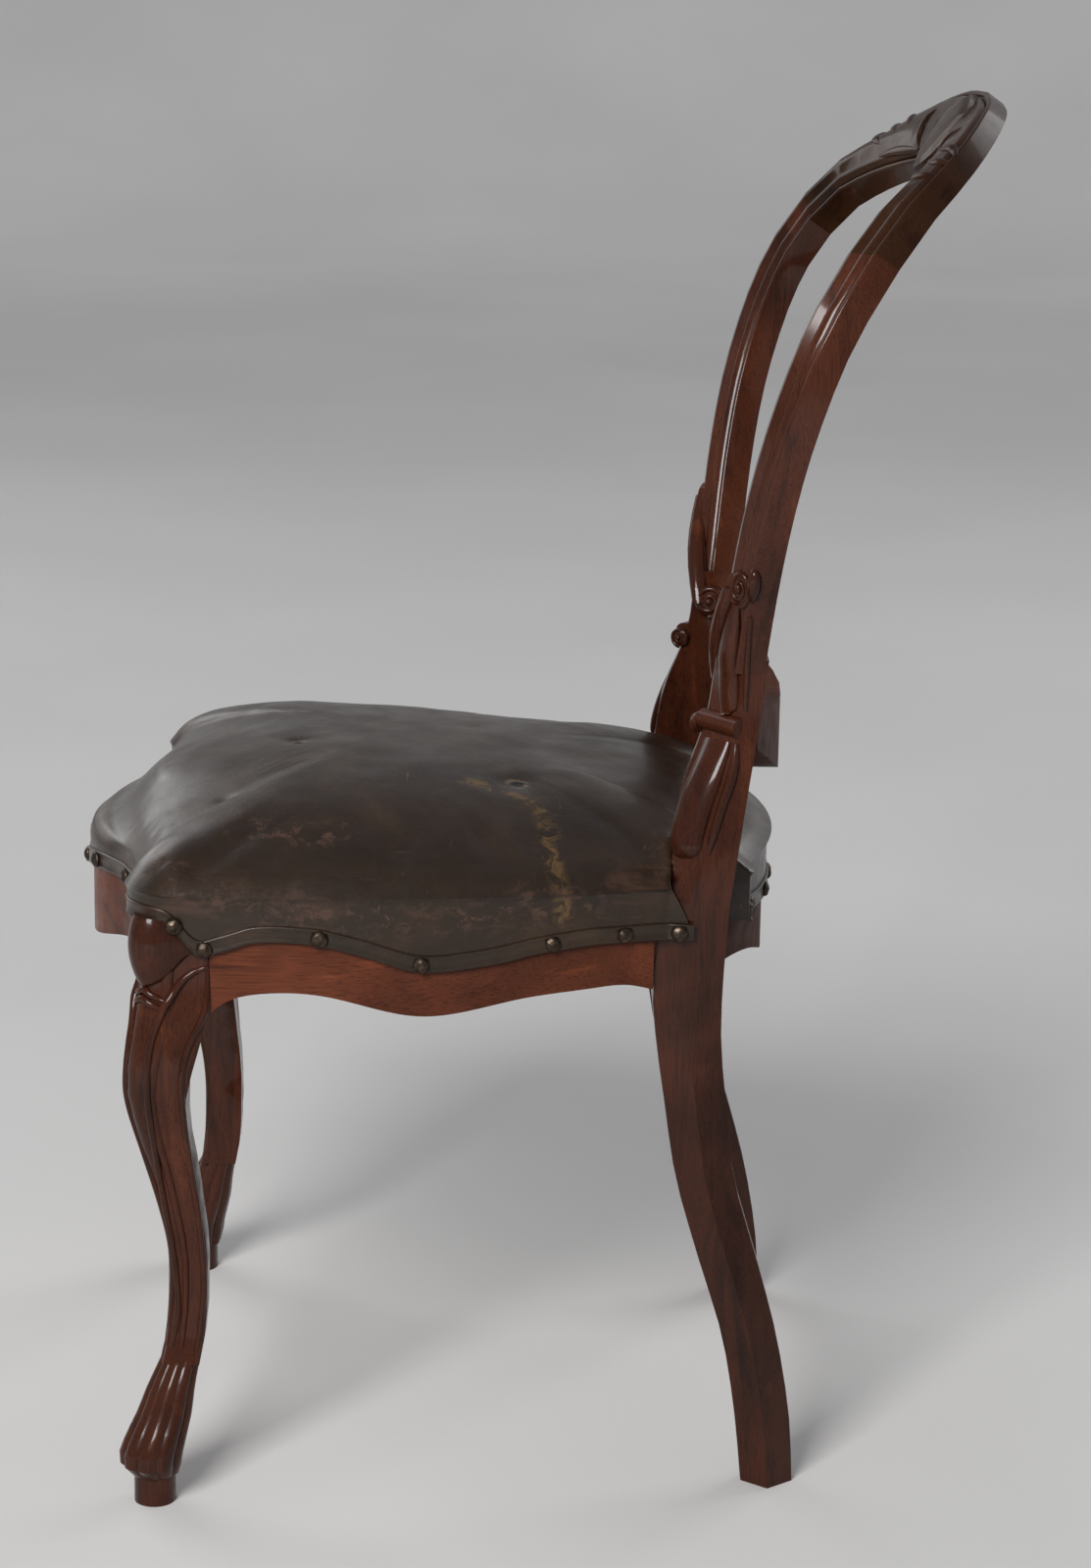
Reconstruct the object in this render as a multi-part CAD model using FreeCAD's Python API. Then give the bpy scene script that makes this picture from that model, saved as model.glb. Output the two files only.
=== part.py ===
import FreeCAD, Part
import math
import os
from FreeCAD import Vector

# Victorian medallion back dining chair with a stuffed leather seat.
# Millimetres. The sitter faces -Y, X runs across the chair and Z is up.
# The origin is on the floor, midway between the front bow and the back of the crest.

# Seat frame
rail_top = 402.0            # height of the top of the seat rails
rail_depth = 54.0           # height of a rail away from its shaped lower edge
rail_thickness = 27.0
front_bow_y = -297.0        # front face of the front rail at its middle
front_bow = 45.0            # how far the front rail bows past the knees
side_bow = 13.0             # how far each side rail swells
back_bow = 35.0             # how far the back rail bows past the posts

# Front legs, sawn alike on two faces about the diagonal of each corner
diagonal_offset = -40.0     # the diagonal plane is x = diagonal_offset - y
ankle_front_y = -233.0      # front of the leg at the ankle
leg_bead_share = 0.17       # width of a bead on the leg's face, as a share of the leg
panel_recess = 1.5
reed_count = 9
stub_radius = 13.5
knob_radius = 11.0          # knob on the corner ridge of the knee
knob_inset = 9.0
knob_drop = 30.0

# Back
arm_width = 32.0            # face width of the moulded frame
arm_depth = 29.0            # back to the crown of the moulding
arm_side = 17.0             # plain depth of the frame's side
arm_bead = 2.0              # radius of the thin bead
arm_crown = 3.5             # half width of the flat crown
crest_depth = 21.0          # back to the crown at the middle of the crest
crest_plan_bow = 20.0       # how far the crest curves back at its middle
overall_height = 900.0
centring = 3.2              # brings the middle of the finished chair onto the origin
waist_z = 530.0
waist_x = 138.0
joint_below_top = 103.0     # scarf joint between post and crest
joint_x = 169.0
widest_x = 185.0            # middle of the frame at its widest
foot_x = 164.0
roll_radius = 6.5
volute_radius = 10.0
volute_sink = 4.0           # how deep a volute is let into the post
scroll_height = 73.0        # upper volute above the waist
cartouche_relief = 6.0
low_rail_z = 478.0          # middle of the lower back rail at its centre
low_rail_depth = 22.0
low_rail_half = 27.0        # half its height at the centre, and at its ends
low_rail_half_end = 15.0
low_rail_rise = 30.0        # how much higher its ends are
low_rail_round = 5.0        # how far its front face is rounded
low_rail_bow = 24.0         # how far the lower back rail bows backwards

# Upholstery
leather = 2.2
trim_z = 382.0              # lower edge of the leather away from its droop
banding_height = 10.0
banding_thickness = 1.6
seat_crown_z = 468.0
seat_shoulder_z = 418.0
seat_fall = 15.0            # how much lower the seat is at the back than at the front
webbing_width = 50.0
webbing_thickness = 1.5
hessian_thickness = 1.0
hessian_inset = 10.0
tack_head = 0.8
tack_radius = 3.5
tack_shank = 1.4
tack_length = 9.0
tack_inset = 8.0            # tacks from the ends of a strap, and strap ends from the rail's face
tack_spread = 0.6           # tacks from the middle of a strap, as a share of half its width
nail_radius = 5.5
nail_height = 3.2

# Hidden joinery
clearance = 0.3             # between soft layers and round dowels and screws
dowel_radius = 5.0
dowel_length = 44.0
dowel_drops = (15.0, 38.0)  # below the top of the rails
dowel_turn = 0.6            # share of the back rail's slant that its dowels follow
dowel_shift = 5.5           # how far behind the middle of the back rail's end its dowels start
small_dowel_radius = 3.5
small_dowel_length = 24.0
screw_radius = 2.2
screw_head_radius = 4.0
screw_head_height = 2.5
screw_length = 28.0
screw_share = 0.72          # where a screw goes through a corner block
screw_sink = 4.5            # depth of the head's seat below the block's face
block_drop = 8.0            # corner blocks below the top of the rails
block_height = 34.0
fuse_tolerance = 0.01

# Front leg as (share of its height, sweep from the ankle, thickness)
front_leg_shape = [(0.229, 7, 26), (0.286, 2, 25), (0.353, 0, 24), (0.42, 1, 25), (0.488, 6, 27),
                   (0.555, 12, 30), (0.619, 19, 33), (0.697, 26, 39), (0.751, 26, 44), (0.816, 22, 47),
                   (0.881, 18, 46), (1.0, 17, 45)]
# Foot as (share of the leg's height, middle's sweep from the ankle's front, radius)
foot_shape = [(0.05, 10, 16), (0.067, 12, 20), (0.085, 12, 21), (0.114, 8.5, 20), (0.149, 3.5, 18),
              (0.184, 0, 16), (0.219, -4.5, 13.8), (0.249, -8.5, 12.4), (0.279, -10.5, 11.2)]
# Back leg as (share of the rail's height, front y, back y, middle's x from the foot,
# half width, half of the front flat, half of the back flat, outer arris from front to back)
back_leg_shape = [(0.0, 142, 176, 0, 17, 4, 4, 0.5), (0.114, 137, 173, -1, 17, 4, 4, 0.5),
                  (0.254, 127, 163, -3, 18, 5, 5, 0.5), (0.39, 110, 148, -5, 18.5, 6, 6, 0.5),
                  (0.527, 94, 132, -7, 19, 7, 7, 0.5), (0.662, 85, 125, -9, 18, 9, 9, 0.5),
                  (0.761, 79, 121, -11, 17, 12, 12, 0.5), (0.858, 76, 121, -12, 16, 14.5, 14.5, 0.5),
                  (0.99, 83, 124, -13, 15.5, 14, 15, 0.4)]
# Hip and waist of the post in the same columns, as shares from the rail's top to the waist,
# with the middle's x measured from the waist
hip_shape = [(0.25, 88, 129, 11, 16, 4, 15, 0.42), (0.48, 92, 133, 8, 16, -3, 15, 0.5),
             (0.64, 98, 136, 5, 16, -8, 15, 0.58), (0.82, 107, 139.5, 1.5, 16, -11, 15, 0.66),
             (1.0, 111, 142, 0, 16.5, -11, 15.5, 0.6), (1.2, 113, 145, 2, 17.5, -8, 16.5, 0.5)]
# Back surface of the frame at its sides, as (height, y)
lean_shape = [(345, 122), (555, 143), (640, 153), (702, 166), (763, 188), (815, 221), (860, 256), (900, 283)]
# Middle of the moulded frame from waist to joint, as (share of the height, share of the swell)
arm_path = [(0.07, 0.03), (0.2, 0.22), (0.36, 0.52), (0.54, 0.82), (0.7, 0.97), (0.8, 1.0), (0.9, 0.93)]
# Crest as (x, height below the top of the outer edge, the same of the inner edge, its x)
crest_path = [(0, 8, 54, 0), (52, 12, 58, 45), (101, 26, 67, 84), (137, 46, 78, 113), (160, 66, 90, 136)]
# Lower edge of a side rail, as (share of its length, rise)
side_edge = [(0.0, -13), (0.05, -3), (0.12, 1), (0.26, -1), (0.47, -15), (0.7, -6), (0.86, -2), (0.95, -2),
             (1.0, -6)]
# Lower edge of the front rail from its middle, as (share of half its length, rise)
front_edge = [(0.0, -15), (0.3, -9), (0.6, 4), (0.85, 8), (0.95, 5), (1.0, -3)]
# Lower edge of the leather on a side rail and on the front rail, in the same way
side_trim = [(-0.149, 12.5), (-0.09, 9), (-0.03, -8), (0.02, -6), (0.1, 1), (0.22, 0), (0.34, -8), (0.47, -19),
             (0.62, -16), (0.76, -9), (0.9, -6), (1.1, -7)]
front_trim = [(0.0, -7), (0.3, 4), (0.6, 9), (1.0, 12), (1.25, 12.5)]
back_trim = [(0.0, -14), (0.5, -9), (1.0, -3)]
# Side of the cushion as (height above its base, swell, share of the fall, how much flatter its front
# is than the rail's bow)
cushion_side = [(0, 0, 0, 0), (4, 2, 0.05, 10), (8, 3, 0.2, 18)]
# Top of the cushion as (share of the rise above the shoulder, share of the fall, scale, the same flattening)
cushion_crown = [(0.06, 0.5, 0.985, 24), (0.22, 0.65, 0.955, 24), (0.4, 0.8, 0.9, 19), (0.62, 0.9, 0.79, 3),
                 (0.8, 0.95, 0.65, 0), (0.93, 1.0, 0.46, 0), (1.0, 1.0, 0.2, 0)]
cushion_sides = 5           # flats along each arc of the cushion's outline
# Dome nails as y on each side, and x on the front and the back
side_nails = (-227, -208, -136, -72, 11, 57, 92)
front_nails = (0, 58, 112, 160)
back_nails = (0, 54, 100)
# Corner blocks as x, y of the corner and how far they run in x and y
block_plans = [(195.0, -240.0, -90.0, 90.0), (155.5, 121.0, -65.0, -90.0)]

leg_front_y = ankle_front_y - front_leg_shape[-1][1]
leg_back_y = leg_front_y + front_leg_shape[-1][2]
leg_outer_x = diagonal_offset - leg_front_y
leg_inner_x = diagonal_offset - leg_back_y
post_front_y = back_leg_shape[-2][1]
post_back_y = back_leg_shape[-2][2]
post_x = foot_x + back_leg_shape[-2][3]
post_outer_x = post_x + back_leg_shape[-2][4]
post_inner_x = post_x - back_leg_shape[-2][4]
wrap_y = post_front_y + 8          # where the seat's outline turns round the post
joint_z = overall_height - joint_below_top


def blend(points, t, column=1):
    """Value at t of the smooth curve through rows that are sorted by their first column."""
    last = len(points) - 1
    i = 0
    while i < last - 1 and t > points[i + 1][0]:
        i += 1

    def slope(k):
        low = points[max(k - 1, 0)]
        high = points[min(k + 1, last)]
        return (high[column] - low[column]) / (high[0] - low[0])

    span = points[i + 1][0] - points[i][0]
    s = (t - points[i][0]) / span
    return ((2 * s ** 3 - 3 * s ** 2 + 1) * points[i][column] + (s ** 3 - 2 * s ** 2 + s) * span * slope(i)
            + (3 * s ** 2 - 2 * s ** 3) * points[i + 1][column] + (s ** 3 - s ** 2) * span * slope(i + 1))


def spread(count, low, high):
    return [low + (high - low) * i / (count - 1) for i in range(count)]


def polygon(points):
    return Part.makePolygon(points + [points[0]])


def curve(points):
    spline = Part.BSplineCurve()
    spline.interpolate(points)
    return spline.toShape()


def loft(wires):
    return Part.makeLoft(wires, True, True)


def stations(rows, count):
    """Rows resampled along the smooth curves through them, evenly in their first column."""
    return [[t] + [blend(rows, t, column) for column in range(1, len(rows[0]))]
            for t in spread(count, rows[0][0], rows[-1][0])]


def round_polygon(middle, first, second, radius, sides):
    """Regular polygon about a point, in the plane of two unit vectors."""
    corners = []
    for i in range(sides):
        angle = 2 * math.pi * i / sides
        corners.append(middle + first * (radius * math.cos(angle)) + second * (radius * math.sin(angle)))
    return polygon(corners)


def mirrored(shape):
    return shape.mirror(Vector(0, 0, 0), Vector(1, 0, 0))


def box(x0, x1, y0, y1, z0, z1):
    return Part.makeBox(x1 - x0, y1 - y0, z1 - z0, Vector(x0, y0, z0))


def export(name, shape):
    shape = shape.translated(Vector(0, centring, 0))
    shape.exportStep("parts/" + name + ".step")
    print(name, "solids", len(shape.Solids), "valid", shape.isValid(), "volume", round(shape.Volume))


# Outline of the seat frame

def front_y(x, pull=0):
    """Front face of the front rail: a bow that runs out in a hollow beside each knee, or a shallower bow."""
    return front_bow_y + pull + (front_bow - pull) * (1 - math.cos(math.pi * x / leg_inner_x)) / 2


def side_x(y):
    """Outer face of a side rail, an arc from the knee to the post."""
    start = Vector(leg_outer_x, leg_back_y, 0)
    chord = Vector(post_outer_x, wrap_y, 0) - start
    radius = (chord.Length ** 2 / 4 + side_bow ** 2) / (2 * side_bow)
    centre = start + chord * 0.5 + Vector(chord.y, -chord.x, 0).normalize() * (side_bow - radius)
    return centre.x + math.sqrt(radius ** 2 - (y - centre.y) ** 2)


def back_y(x):
    """Back face of the back rail, an arc between the posts."""
    radius = (post_inner_x ** 2 + back_bow ** 2) / (2 * back_bow)
    return post_back_y + back_bow - radius + math.sqrt(radius ** 2 - x ** 2)


def half_outline(grow, pull):
    """Ends and middles of the arcs round the right half of the seat, from front to back."""
    bend = leg_inner_x / 2
    corner = 0.7 * grow
    side_start = leg_back_y - 18
    side_middle = (side_start + wrap_y) / 2
    back_end = 0.8 * post_inner_x
    return [(bend, front_y(bend, pull) - grow), (1.5 * bend, front_y(1.5 * bend, pull) - grow),
            (leg_inner_x, front_y(leg_inner_x, pull) - grow),
            (leg_outer_x - 6 + corner, leg_front_y + 6 - corner),
            (side_x(side_start) + grow, side_start), (side_x(side_middle) + grow, side_middle),
            (post_outer_x + grow, wrap_y), (post_outer_x - 5 + corner, post_back_y - 5 + corner),
            (back_end, back_y(back_end) + grow)]


def seat_outline(grow, height, fall, scale=1.0, pull=0):
    """Arcs of the seat's outline, grown outwards or scaled in, at a height that falls towards the back."""
    right = half_outline(grow, pull)
    left = [(-x, y) for x, y in reversed(right)]
    points = [(0, front_y(0, pull) - grow)] + right + [(0, back_y(0) + grow)] + left
    middle_y = (post_back_y + back_bow + front_bow_y) / 2
    depth = post_back_y + back_bow - front_bow_y
    points = [Vector(scale * x, middle_y + scale * (y - middle_y), 0) for x, y in points]
    for point in points:
        point.z = height - fall * (point.y - front_bow_y) / depth
    count = len(points)
    return Part.Wire([Part.Arc(points[i - 1], points[i], points[(i + 1) % count]).toShape()
                      for i in range(0, count, 2)])


def arc_run(points):
    """Chain of arcs through points that alternate between ends and middles."""
    return [Part.Arc(points[i], points[i + 1], points[i + 2]).toShape() for i in range(0, len(points) - 2, 2)]


# Front legs

def leg_section(z, front, size):
    """Square section with a rounded corner ridge and a beaded, sunk panel on both outer faces."""
    x0 = diagonal_offset - front - size
    y0 = front + size
    low = size - panel_recess
    bead = leg_bead_share * size
    ridge = size - 2 * bead
    round_in = 0.12 * size

    def at(a, b):
        return Vector(x0 + a, y0 - b, z)

    edges = [Part.Arc(at(low, 0), at(size, bead / 2), at(low, bead)).toShape(),
             Part.makeLine(at(low, bead), at(low, ridge - bead)),
             Part.Arc(at(low, ridge - bead), at(size, ridge - bead / 2), at(low, ridge)).toShape(),
             Part.Arc(at(low, ridge), at(size - round_in, size - round_in), at(ridge, low)).toShape(),
             Part.Arc(at(ridge, low), at(ridge - bead / 2, size), at(ridge - bead, low)).toShape(),
             Part.makeLine(at(ridge - bead, low), at(bead, low)),
             Part.Arc(at(bead, low), at(bead / 2, size), at(0, low)).toShape(),
             Part.makeLine(at(0, low), at(0, 0)),
             Part.makeLine(at(0, 0), at(low, 0))]
    return Part.Wire(edges)


def reeded_section(z, middle_y, radius):
    """Ring of convex reeds that meet in sharp valleys."""
    x = diagonal_offset - middle_y
    valley = radius * 0.9
    step = 2 * math.pi / reed_count
    toe = -math.pi / 4

    def at(r, angle):
        return Vector(x + r * math.cos(angle), middle_y + r * math.sin(angle), z)

    edges = []
    for i in range(reed_count):
        a = toe + (i - 0.5) * step
        edges.append(Part.Arc(at(valley, a), at(radius, a + step / 2), at(valley, a + step)).toShape())
    return Part.Wire(edges)


def front_leg():
    shaft = loft([leg_section(share * rail_top, ankle_front_y - sweep, size)
                  for share, sweep, size in stations(front_leg_shape, 19)])
    foot = loft([reeded_section(share * rail_top, ankle_front_y - sweep, radius)
                 for share, sweep, radius in stations(foot_shape, 13)])
    stub_sweep = foot_shape[0][1]
    stub_y = ankle_front_y - stub_sweep
    stub = Part.makeCylinder(stub_radius, foot_shape[1][0] * rail_top,
                             Vector(diagonal_offset - stub_y, stub_y, 0))
    knob = Part.makeSphere(knob_radius, Vector(leg_outer_x - knob_inset, leg_front_y + knob_inset,
                                               rail_top - knob_drop))
    return shaft.multiFuse([foot, stub, knob], fuse_tolerance)


# Back posts, each one sawn piece from the floor to the crest

def post_section(z, row, middle_x):
    share, front, back, offset, half, front_flat, back_flat, arris = row
    x = middle_x + offset
    middle_y = (front + back) / 2
    return polygon([Vector(x - half, middle_y, z),
                    Vector(x - back_flat, front, z),
                    Vector(x + front_flat, front, z),
                    Vector(x + half, front + arris * (back - front), z),
                    Vector(x + back_flat, back, z),
                    Vector(x - back_flat, back, z)])


def lean(z):
    return blend(lean_shape, z)


def frame_point(x, z, bow):
    return Vector(x, lean(z) + bow, z)


def frame_axes(inner, outer, bow):
    """Back edge of a section, its direction across the frame, its width and the way it faces."""
    start = frame_point(inner[0], inner[1], bow)
    across = frame_point(outer[0], outer[1], bow).sub(start)
    width = across.Length
    across.normalize()
    z = (inner[1] + outer[1]) / 2
    slope = (lean(z + 1) - lean(z - 1)) / 2
    front = Vector(0, -1, slope)
    front = front - across * front.dot(across)
    front.normalize()
    return start, across, width, front


def frame_section(inner, outer, depth, bow):
    """Moulded section between the two edges of the frame, which are given as (x, z)."""
    start, across, width, front = frame_axes(inner, outer, bow)
    side = arm_side * depth / arm_depth
    rise = side + 7 * depth / arm_depth
    crown = width / 2 - arm_crown
    groove = 2 * arm_bead
    foot = groove + 1
    ridge = foot + 5

    def at(a, v):
        return start + across * a + front * v

    edges = [Part.makeLine(at(0, 0), at(0, side)),
            Part.Arc(at(0, side), at(arm_bead, side + arm_bead), at(groove, side)).toShape(),
            Part.makeLine(at(groove, side), at(foot, side)),
            Part.Arc(at(foot, side), at(foot + 1.3, side + 0.65 * (rise - side)), at(ridge, rise)).toShape(),
            Part.makeLine(at(ridge, rise), at(crown, depth)),
            Part.makeLine(at(crown, depth), at(width - crown, depth)),
            Part.makeLine(at(width - crown, depth), at(width - ridge, rise)),
            Part.Arc(at(width - ridge, rise), at(width - foot - 1.3, side + 0.65 * (rise - side)),
                     at(width - foot, side)).toShape(),
            Part.makeLine(at(width - foot, side), at(width - groove, side)),
            Part.Arc(at(width - groove, side), at(width - arm_bead, side + arm_bead), at(width, side)).toShape(),
            Part.makeLine(at(width, side), at(width, 0)),
            Part.makeLine(at(width, 0), at(0, 0))]
    return Part.Wire(edges)


def arm_middles():
    """Middle of the moulded frame from the waist to the joint, as (x, z)."""
    places = []
    for share, swell in stations(arm_path, 13):
        z = waist_z + share * (joint_z - waist_z)
        x = waist_x + swell * (widest_x - waist_x)
        places.append((x, z))
    places.append((joint_x, joint_z))
    return places


def joint_edges():
    """Inner and outer ends of the scarf joint, square to the frame there."""
    before = arm_middles()[-2]
    outer_x, outer_drop, inner_drop, inner_x = crest_path[-1]
    after_z = overall_height - (outer_drop + inner_drop) / 2
    run = Vector((outer_x + inner_x) / 2 - before[0], 0, after_z - before[1]).normalize()
    half = arm_width / 2
    return ((joint_x - half * run.z, joint_z + half * run.x), (joint_x + half * run.z, joint_z - half * run.x))


def arm():
    middles = arm_middles()
    half = arm_width / 2
    wires = []
    for i, (x, z) in enumerate(middles[:-1]):
        low = middles[max(i - 1, 0)]
        high = middles[i + 1]
        run = Vector(high[0] - low[0], 0, high[1] - low[1]).normalize()
        wires.append(frame_section((x - half * run.z, z + half * run.x), (x + half * run.z, z - half * run.x),
                                   arm_depth, 0))
    inner, outer = joint_edges()
    wires.append(frame_section(inner, outer, arm_depth, 0))
    return loft(wires)


def back_post():
    wires = [post_section(row[0] * rail_top, row, foot_x) for row in stations(back_leg_shape, 19)]
    wires += [post_section(rail_top + row[0] * (waist_z - rail_top), row, waist_x)
              for row in stations(hip_shape, 9)]
    stile = loft(wires)
    roll_z = rail_top + hip_shape[3][0] * (waist_z - rail_top) + 4
    roll_start = Vector(waist_x - 11, hip_shape[3][1] - 1, roll_z)
    roll = Part.makeCylinder(roll_radius, 36, roll_start, Vector(28, 22, 0))
    return stile.multiFuse([arm(), roll], fuse_tolerance)


# Crest and lower rail

def crest_wire(station):
    outer_x, outer_drop, inner_drop, inner_x = station
    t = 1 - (abs(outer_x) / joint_x) ** 2
    depth = arm_depth + (crest_depth - arm_depth) * t
    return frame_section((inner_x, overall_height - inner_drop), (outer_x, overall_height - outer_drop),
                         depth, crest_plan_bow * t)


def frame_patch(x, z, bow, depth):
    """Placement on the face of the frame: X across, Y up the face and Z out of it."""
    slope = (lean(z + 1) - lean(z - 1)) / 2
    out = Vector(0, -1, slope).normalize()
    up = Vector(0, slope, 1).normalize()
    place = frame_point(x, z, bow) + out * depth
    return FreeCAD.Placement(FreeCAD.Matrix(1, up.x, out.x, place.x, 0, up.y, out.y, place.y,
                                            0, up.z, out.z, place.z, 0, 0, 0, 1))


def leaf(points, relief, sink):
    """Carved boss: a smooth outline that swells from under the face to a smaller top."""
    middle_x = sum(x for x, y in points) / len(points)
    middle_y = sum(y for x, y in points) / len(points)
    wires = []
    for height, size in ((-sink, 1.0), (0.4 * relief, 0.93), (0.8 * relief, 0.74), (relief, 0.45)):
        wires.append(polygon([Vector(middle_x + size * (x - middle_x), middle_y + size * (y - middle_y),
                                     height) for x, y in points]))
    return loft(wires)


def crest_rail():
    path = stations(crest_path, 11)
    half = [crest_wire(station) for station in path[1:]]
    inner, outer = joint_edges()
    half.append(frame_section(inner, outer, arm_depth, 0))
    other = [frame_section((-inner[0], inner[1]), (-outer[0], outer[1]), arm_depth, 0)]
    for x, outer_drop, inner_drop, inner_x in reversed(path):
        other.append(crest_wire((-x, outer_drop, inner_drop, -inner_x)))
    band = loft(other + half)
    shield = leaf([(0, 36), (17, 30), (33, 22), (36, 6), (26, -14), (12, -24), (0, -29),
                   (-12, -24), (-26, -14), (-36, 6), (-33, 22), (-17, 30)], cartouche_relief, 7)
    shield.Placement = frame_patch(0, overall_height - 42, crest_plan_bow, crest_depth - 1)
    return band.multiFuse([shield], fuse_tolerance)


def lower_back_rail():
    """Bowed and dished rail that closes the medallion above the waist."""
    reach = waist_x
    wires = []
    for x in spread(9, -reach, reach):
        t = math.cos(math.pi * x / (2 * reach))
        middle = low_rail_z + low_rail_rise * (1 - t)
        half = low_rail_half_end + (low_rail_half - low_rail_half_end) * t * t
        back = lean(waist_z) + low_rail_bow * t
        front = back - low_rail_depth
        edge = front + low_rail_round
        corners = [Vector(x, edge, middle - half), Vector(x, back, middle - half),
                   Vector(x, back, middle + half), Vector(x, edge, middle + half)]
        wires.append(Part.Wire([Part.makeLine(a, b) for a, b in zip(corners, corners[1:])]
                               + [Part.Arc(corners[3], Vector(x, front, middle), corners[0]).toShape()]))
    return loft(wires)


def waist_scroll():
    """Carved S scroll glued to the front of the post where the medallion meets the waist."""
    front = hip_shape[-1][1]
    out = Vector(0.75, -0.66, 0)
    top = Vector(waist_x + 18, front + 15, waist_z + scroll_height)
    low = Vector(waist_x - 12, front + 12, waist_z + 5)
    low_out = Vector(-0.3, -0.95, 0)
    parts = []
    for middle, along, radius in ((top, out, volute_radius), (low, low_out, volute_radius - 1)):
        start = middle - along * volute_sink
        parts.append(Part.makeCylinder(radius, volute_sink + 8, start, along))
        parts.append(Part.makeCylinder(0.4 * radius, volute_sink + 10, start, along))
    wires = []
    for t in spread(7, 0, 1):
        swing = math.sin(math.pi * t)
        middle = top + (low - top) * t + Vector(6 * math.cos(math.pi * t) - 4, -9 - 3 * swing, 0)
        wires.append(round_polygon(middle, Vector(1, 0, 0), Vector(0, 1, 0), 5 + 1.5 * swing, 12))
    return loft(wires).multiFuse(parts, fuse_tolerance)


# Seat rails

def elevation(points, along, top):
    """Upright face under top whose lower edge is a curve; along maps (distance, height) to a point."""
    low = curve([along(d, z) for d, z in points])
    first = points[0][0]
    last = points[-1][0]
    return Part.Face(Part.Wire([low, Part.makeLine(along(last, points[-1][1]), along(last, top)),
                                Part.makeLine(along(last, top), along(first, top)),
                                Part.makeLine(along(first, top), along(first, points[0][1]))]))


def side_edge_points(shape, height):
    length = post_front_y - leg_back_y
    return [(leg_back_y + share * length, height + rise) for share, rise in shape]


def front_edge_points(shape, height):
    points = [(share * leg_inner_x, height + rise) for share, rise in shape]
    return [(-x, z) for x, z in reversed(points[1:])] + points


def rail_plan(points, shift):
    """Face between a rail's outer outline and the same outline moved inwards."""
    inner = [point + shift for point in reversed(points)]
    return Part.Face(Part.Wire(arc_run(points) + [Part.makeLine(points[-1], inner[0])] + arc_run(inner)
                               + [Part.makeLine(inner[-1], points[0])]))


def shaped_rail(plan, edge, along, through):
    """Rail sawn to its plan and then to the curve of its lower edge."""
    block = plan.extrude(Vector(0, 0, rail_top - plan.BoundBox.ZMin))
    return block.common(elevation(edge, along, rail_top).extrude(through))


def side_rail():
    low = rail_top - rail_depth
    floor = low - 40
    ys = spread(3, leg_back_y, post_front_y + 16)
    plan = rail_plan([Vector(side_x(y), y, floor) for y in ys], Vector(-rail_thickness, 0, 0))
    edge = side_edge_points(side_edge, low)
    edge.append((post_front_y + 18, edge[-1][1] - 1))
    rail = shaped_rail(plan, edge, lambda d, z: Vector(0, d, z), Vector(2 * leg_outer_x, 0, 0))
    return rail.cut(box(post_outer_x - 3, post_outer_x + rail_thickness, post_front_y, post_back_y, floor, rail_top))


def front_rail():
    low = rail_top - rail_depth
    bend = leg_inner_x / 2
    xs = [-leg_inner_x, -1.5 * bend, -bend, 0, bend, 1.5 * bend, leg_inner_x]
    plan = rail_plan([Vector(x, front_y(x), low - 40) for x in xs], Vector(0, rail_thickness, 0))
    return shaped_rail(plan, front_edge_points(front_edge, low), lambda d, z: Vector(d, front_bow_y - 10, z),
                       Vector(0, front_bow + 2 * rail_thickness, 0))


def back_rail():
    low = rail_top - rail_depth
    reach = post_inner_x + 4
    xs = spread(3, -reach, reach)
    plan = rail_plan([Vector(x, back_y(x), low - 40) for x in xs], Vector(0, -rail_thickness, 0))
    edge = [(-reach, low + 2), (-0.55 * reach, low - 6), (0, low - 24), (0.55 * reach, low - 6), (reach, low + 2)]
    return shaped_rail(plan, edge, lambda d, z: Vector(d, 0, z), Vector(0, 2 * post_back_y, 0))


# Upholstery

def cushion(inset, base):
    """Crowned form of the stuffed seat, or of what lies under its leather."""
    rise = seat_crown_z - inset - seat_shoulder_z
    low = [(base + height, grow, fall, 1, pull) for height, grow, fall, pull in cushion_side]
    high = [(seat_shoulder_z + share * rise, 0, fall, scale, pull) for share, fall, scale, pull in cushion_crown]
    rings = []
    for height, grow, fall, scale, pull in low + high:
        outline = seat_outline(grow - inset + leather, height, fall * seat_fall, scale, pull)
        points = []
        for edge in outline.OrderedEdges:
            points += edge.discretize(cushion_sides + 1)[:-1]
        rings.append(polygon(points))
    return loft(rings)


def ring(inner_grow, outer_grow, low, high):
    """Upright skin that follows the outline of the seat."""
    up = Vector(0, 0, high - low)
    outer = Part.Face(seat_outline(outer_grow, low, 0)).extrude(up)
    return outer.cut(Part.Face(seat_outline(inner_grow, low, 0)).extrude(up))


def half_to_whole(shape, reach, height):
    """Points over the whole width from (share of the reach, rise) rows for the right half."""
    points = [(share * reach, height + rise) for share, rise in shape]
    return [(-x, z) for x, z in reversed(points[1:])] + points


def skirt_pieces(inner_grow, outer_grow, rise, top):
    """Skin of the seat's edge above the drooping line of its lower edge, in four pieces."""
    reach = 2 * leg_outer_x
    height = trim_z + rise
    skin = ring(inner_grow, outer_grow, height - 40, top)
    side_points = side_edge_points(side_trim, height)
    side = elevation(side_points, lambda d, z: Vector(0, d, z), top)
    front_end_y = side_points[0][0]
    back_end_y = side_points[-1][0]
    front = elevation(half_to_whole(front_trim, leg_inner_x, height),
                      lambda d, z: Vector(d, front_end_y, z), top)
    back = elevation(half_to_whole(back_trim, post_outer_x, height),
                     lambda d, z: Vector(d, back_end_y, z), top)
    right = skin.common(side.extrude(Vector(reach, 0, 0)))
    return [right, mirrored(right), skin.common(front.extrude(Vector(0, -reach, 0))),
            skin.common(back.extrude(Vector(0, reach, 0)))]


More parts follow.
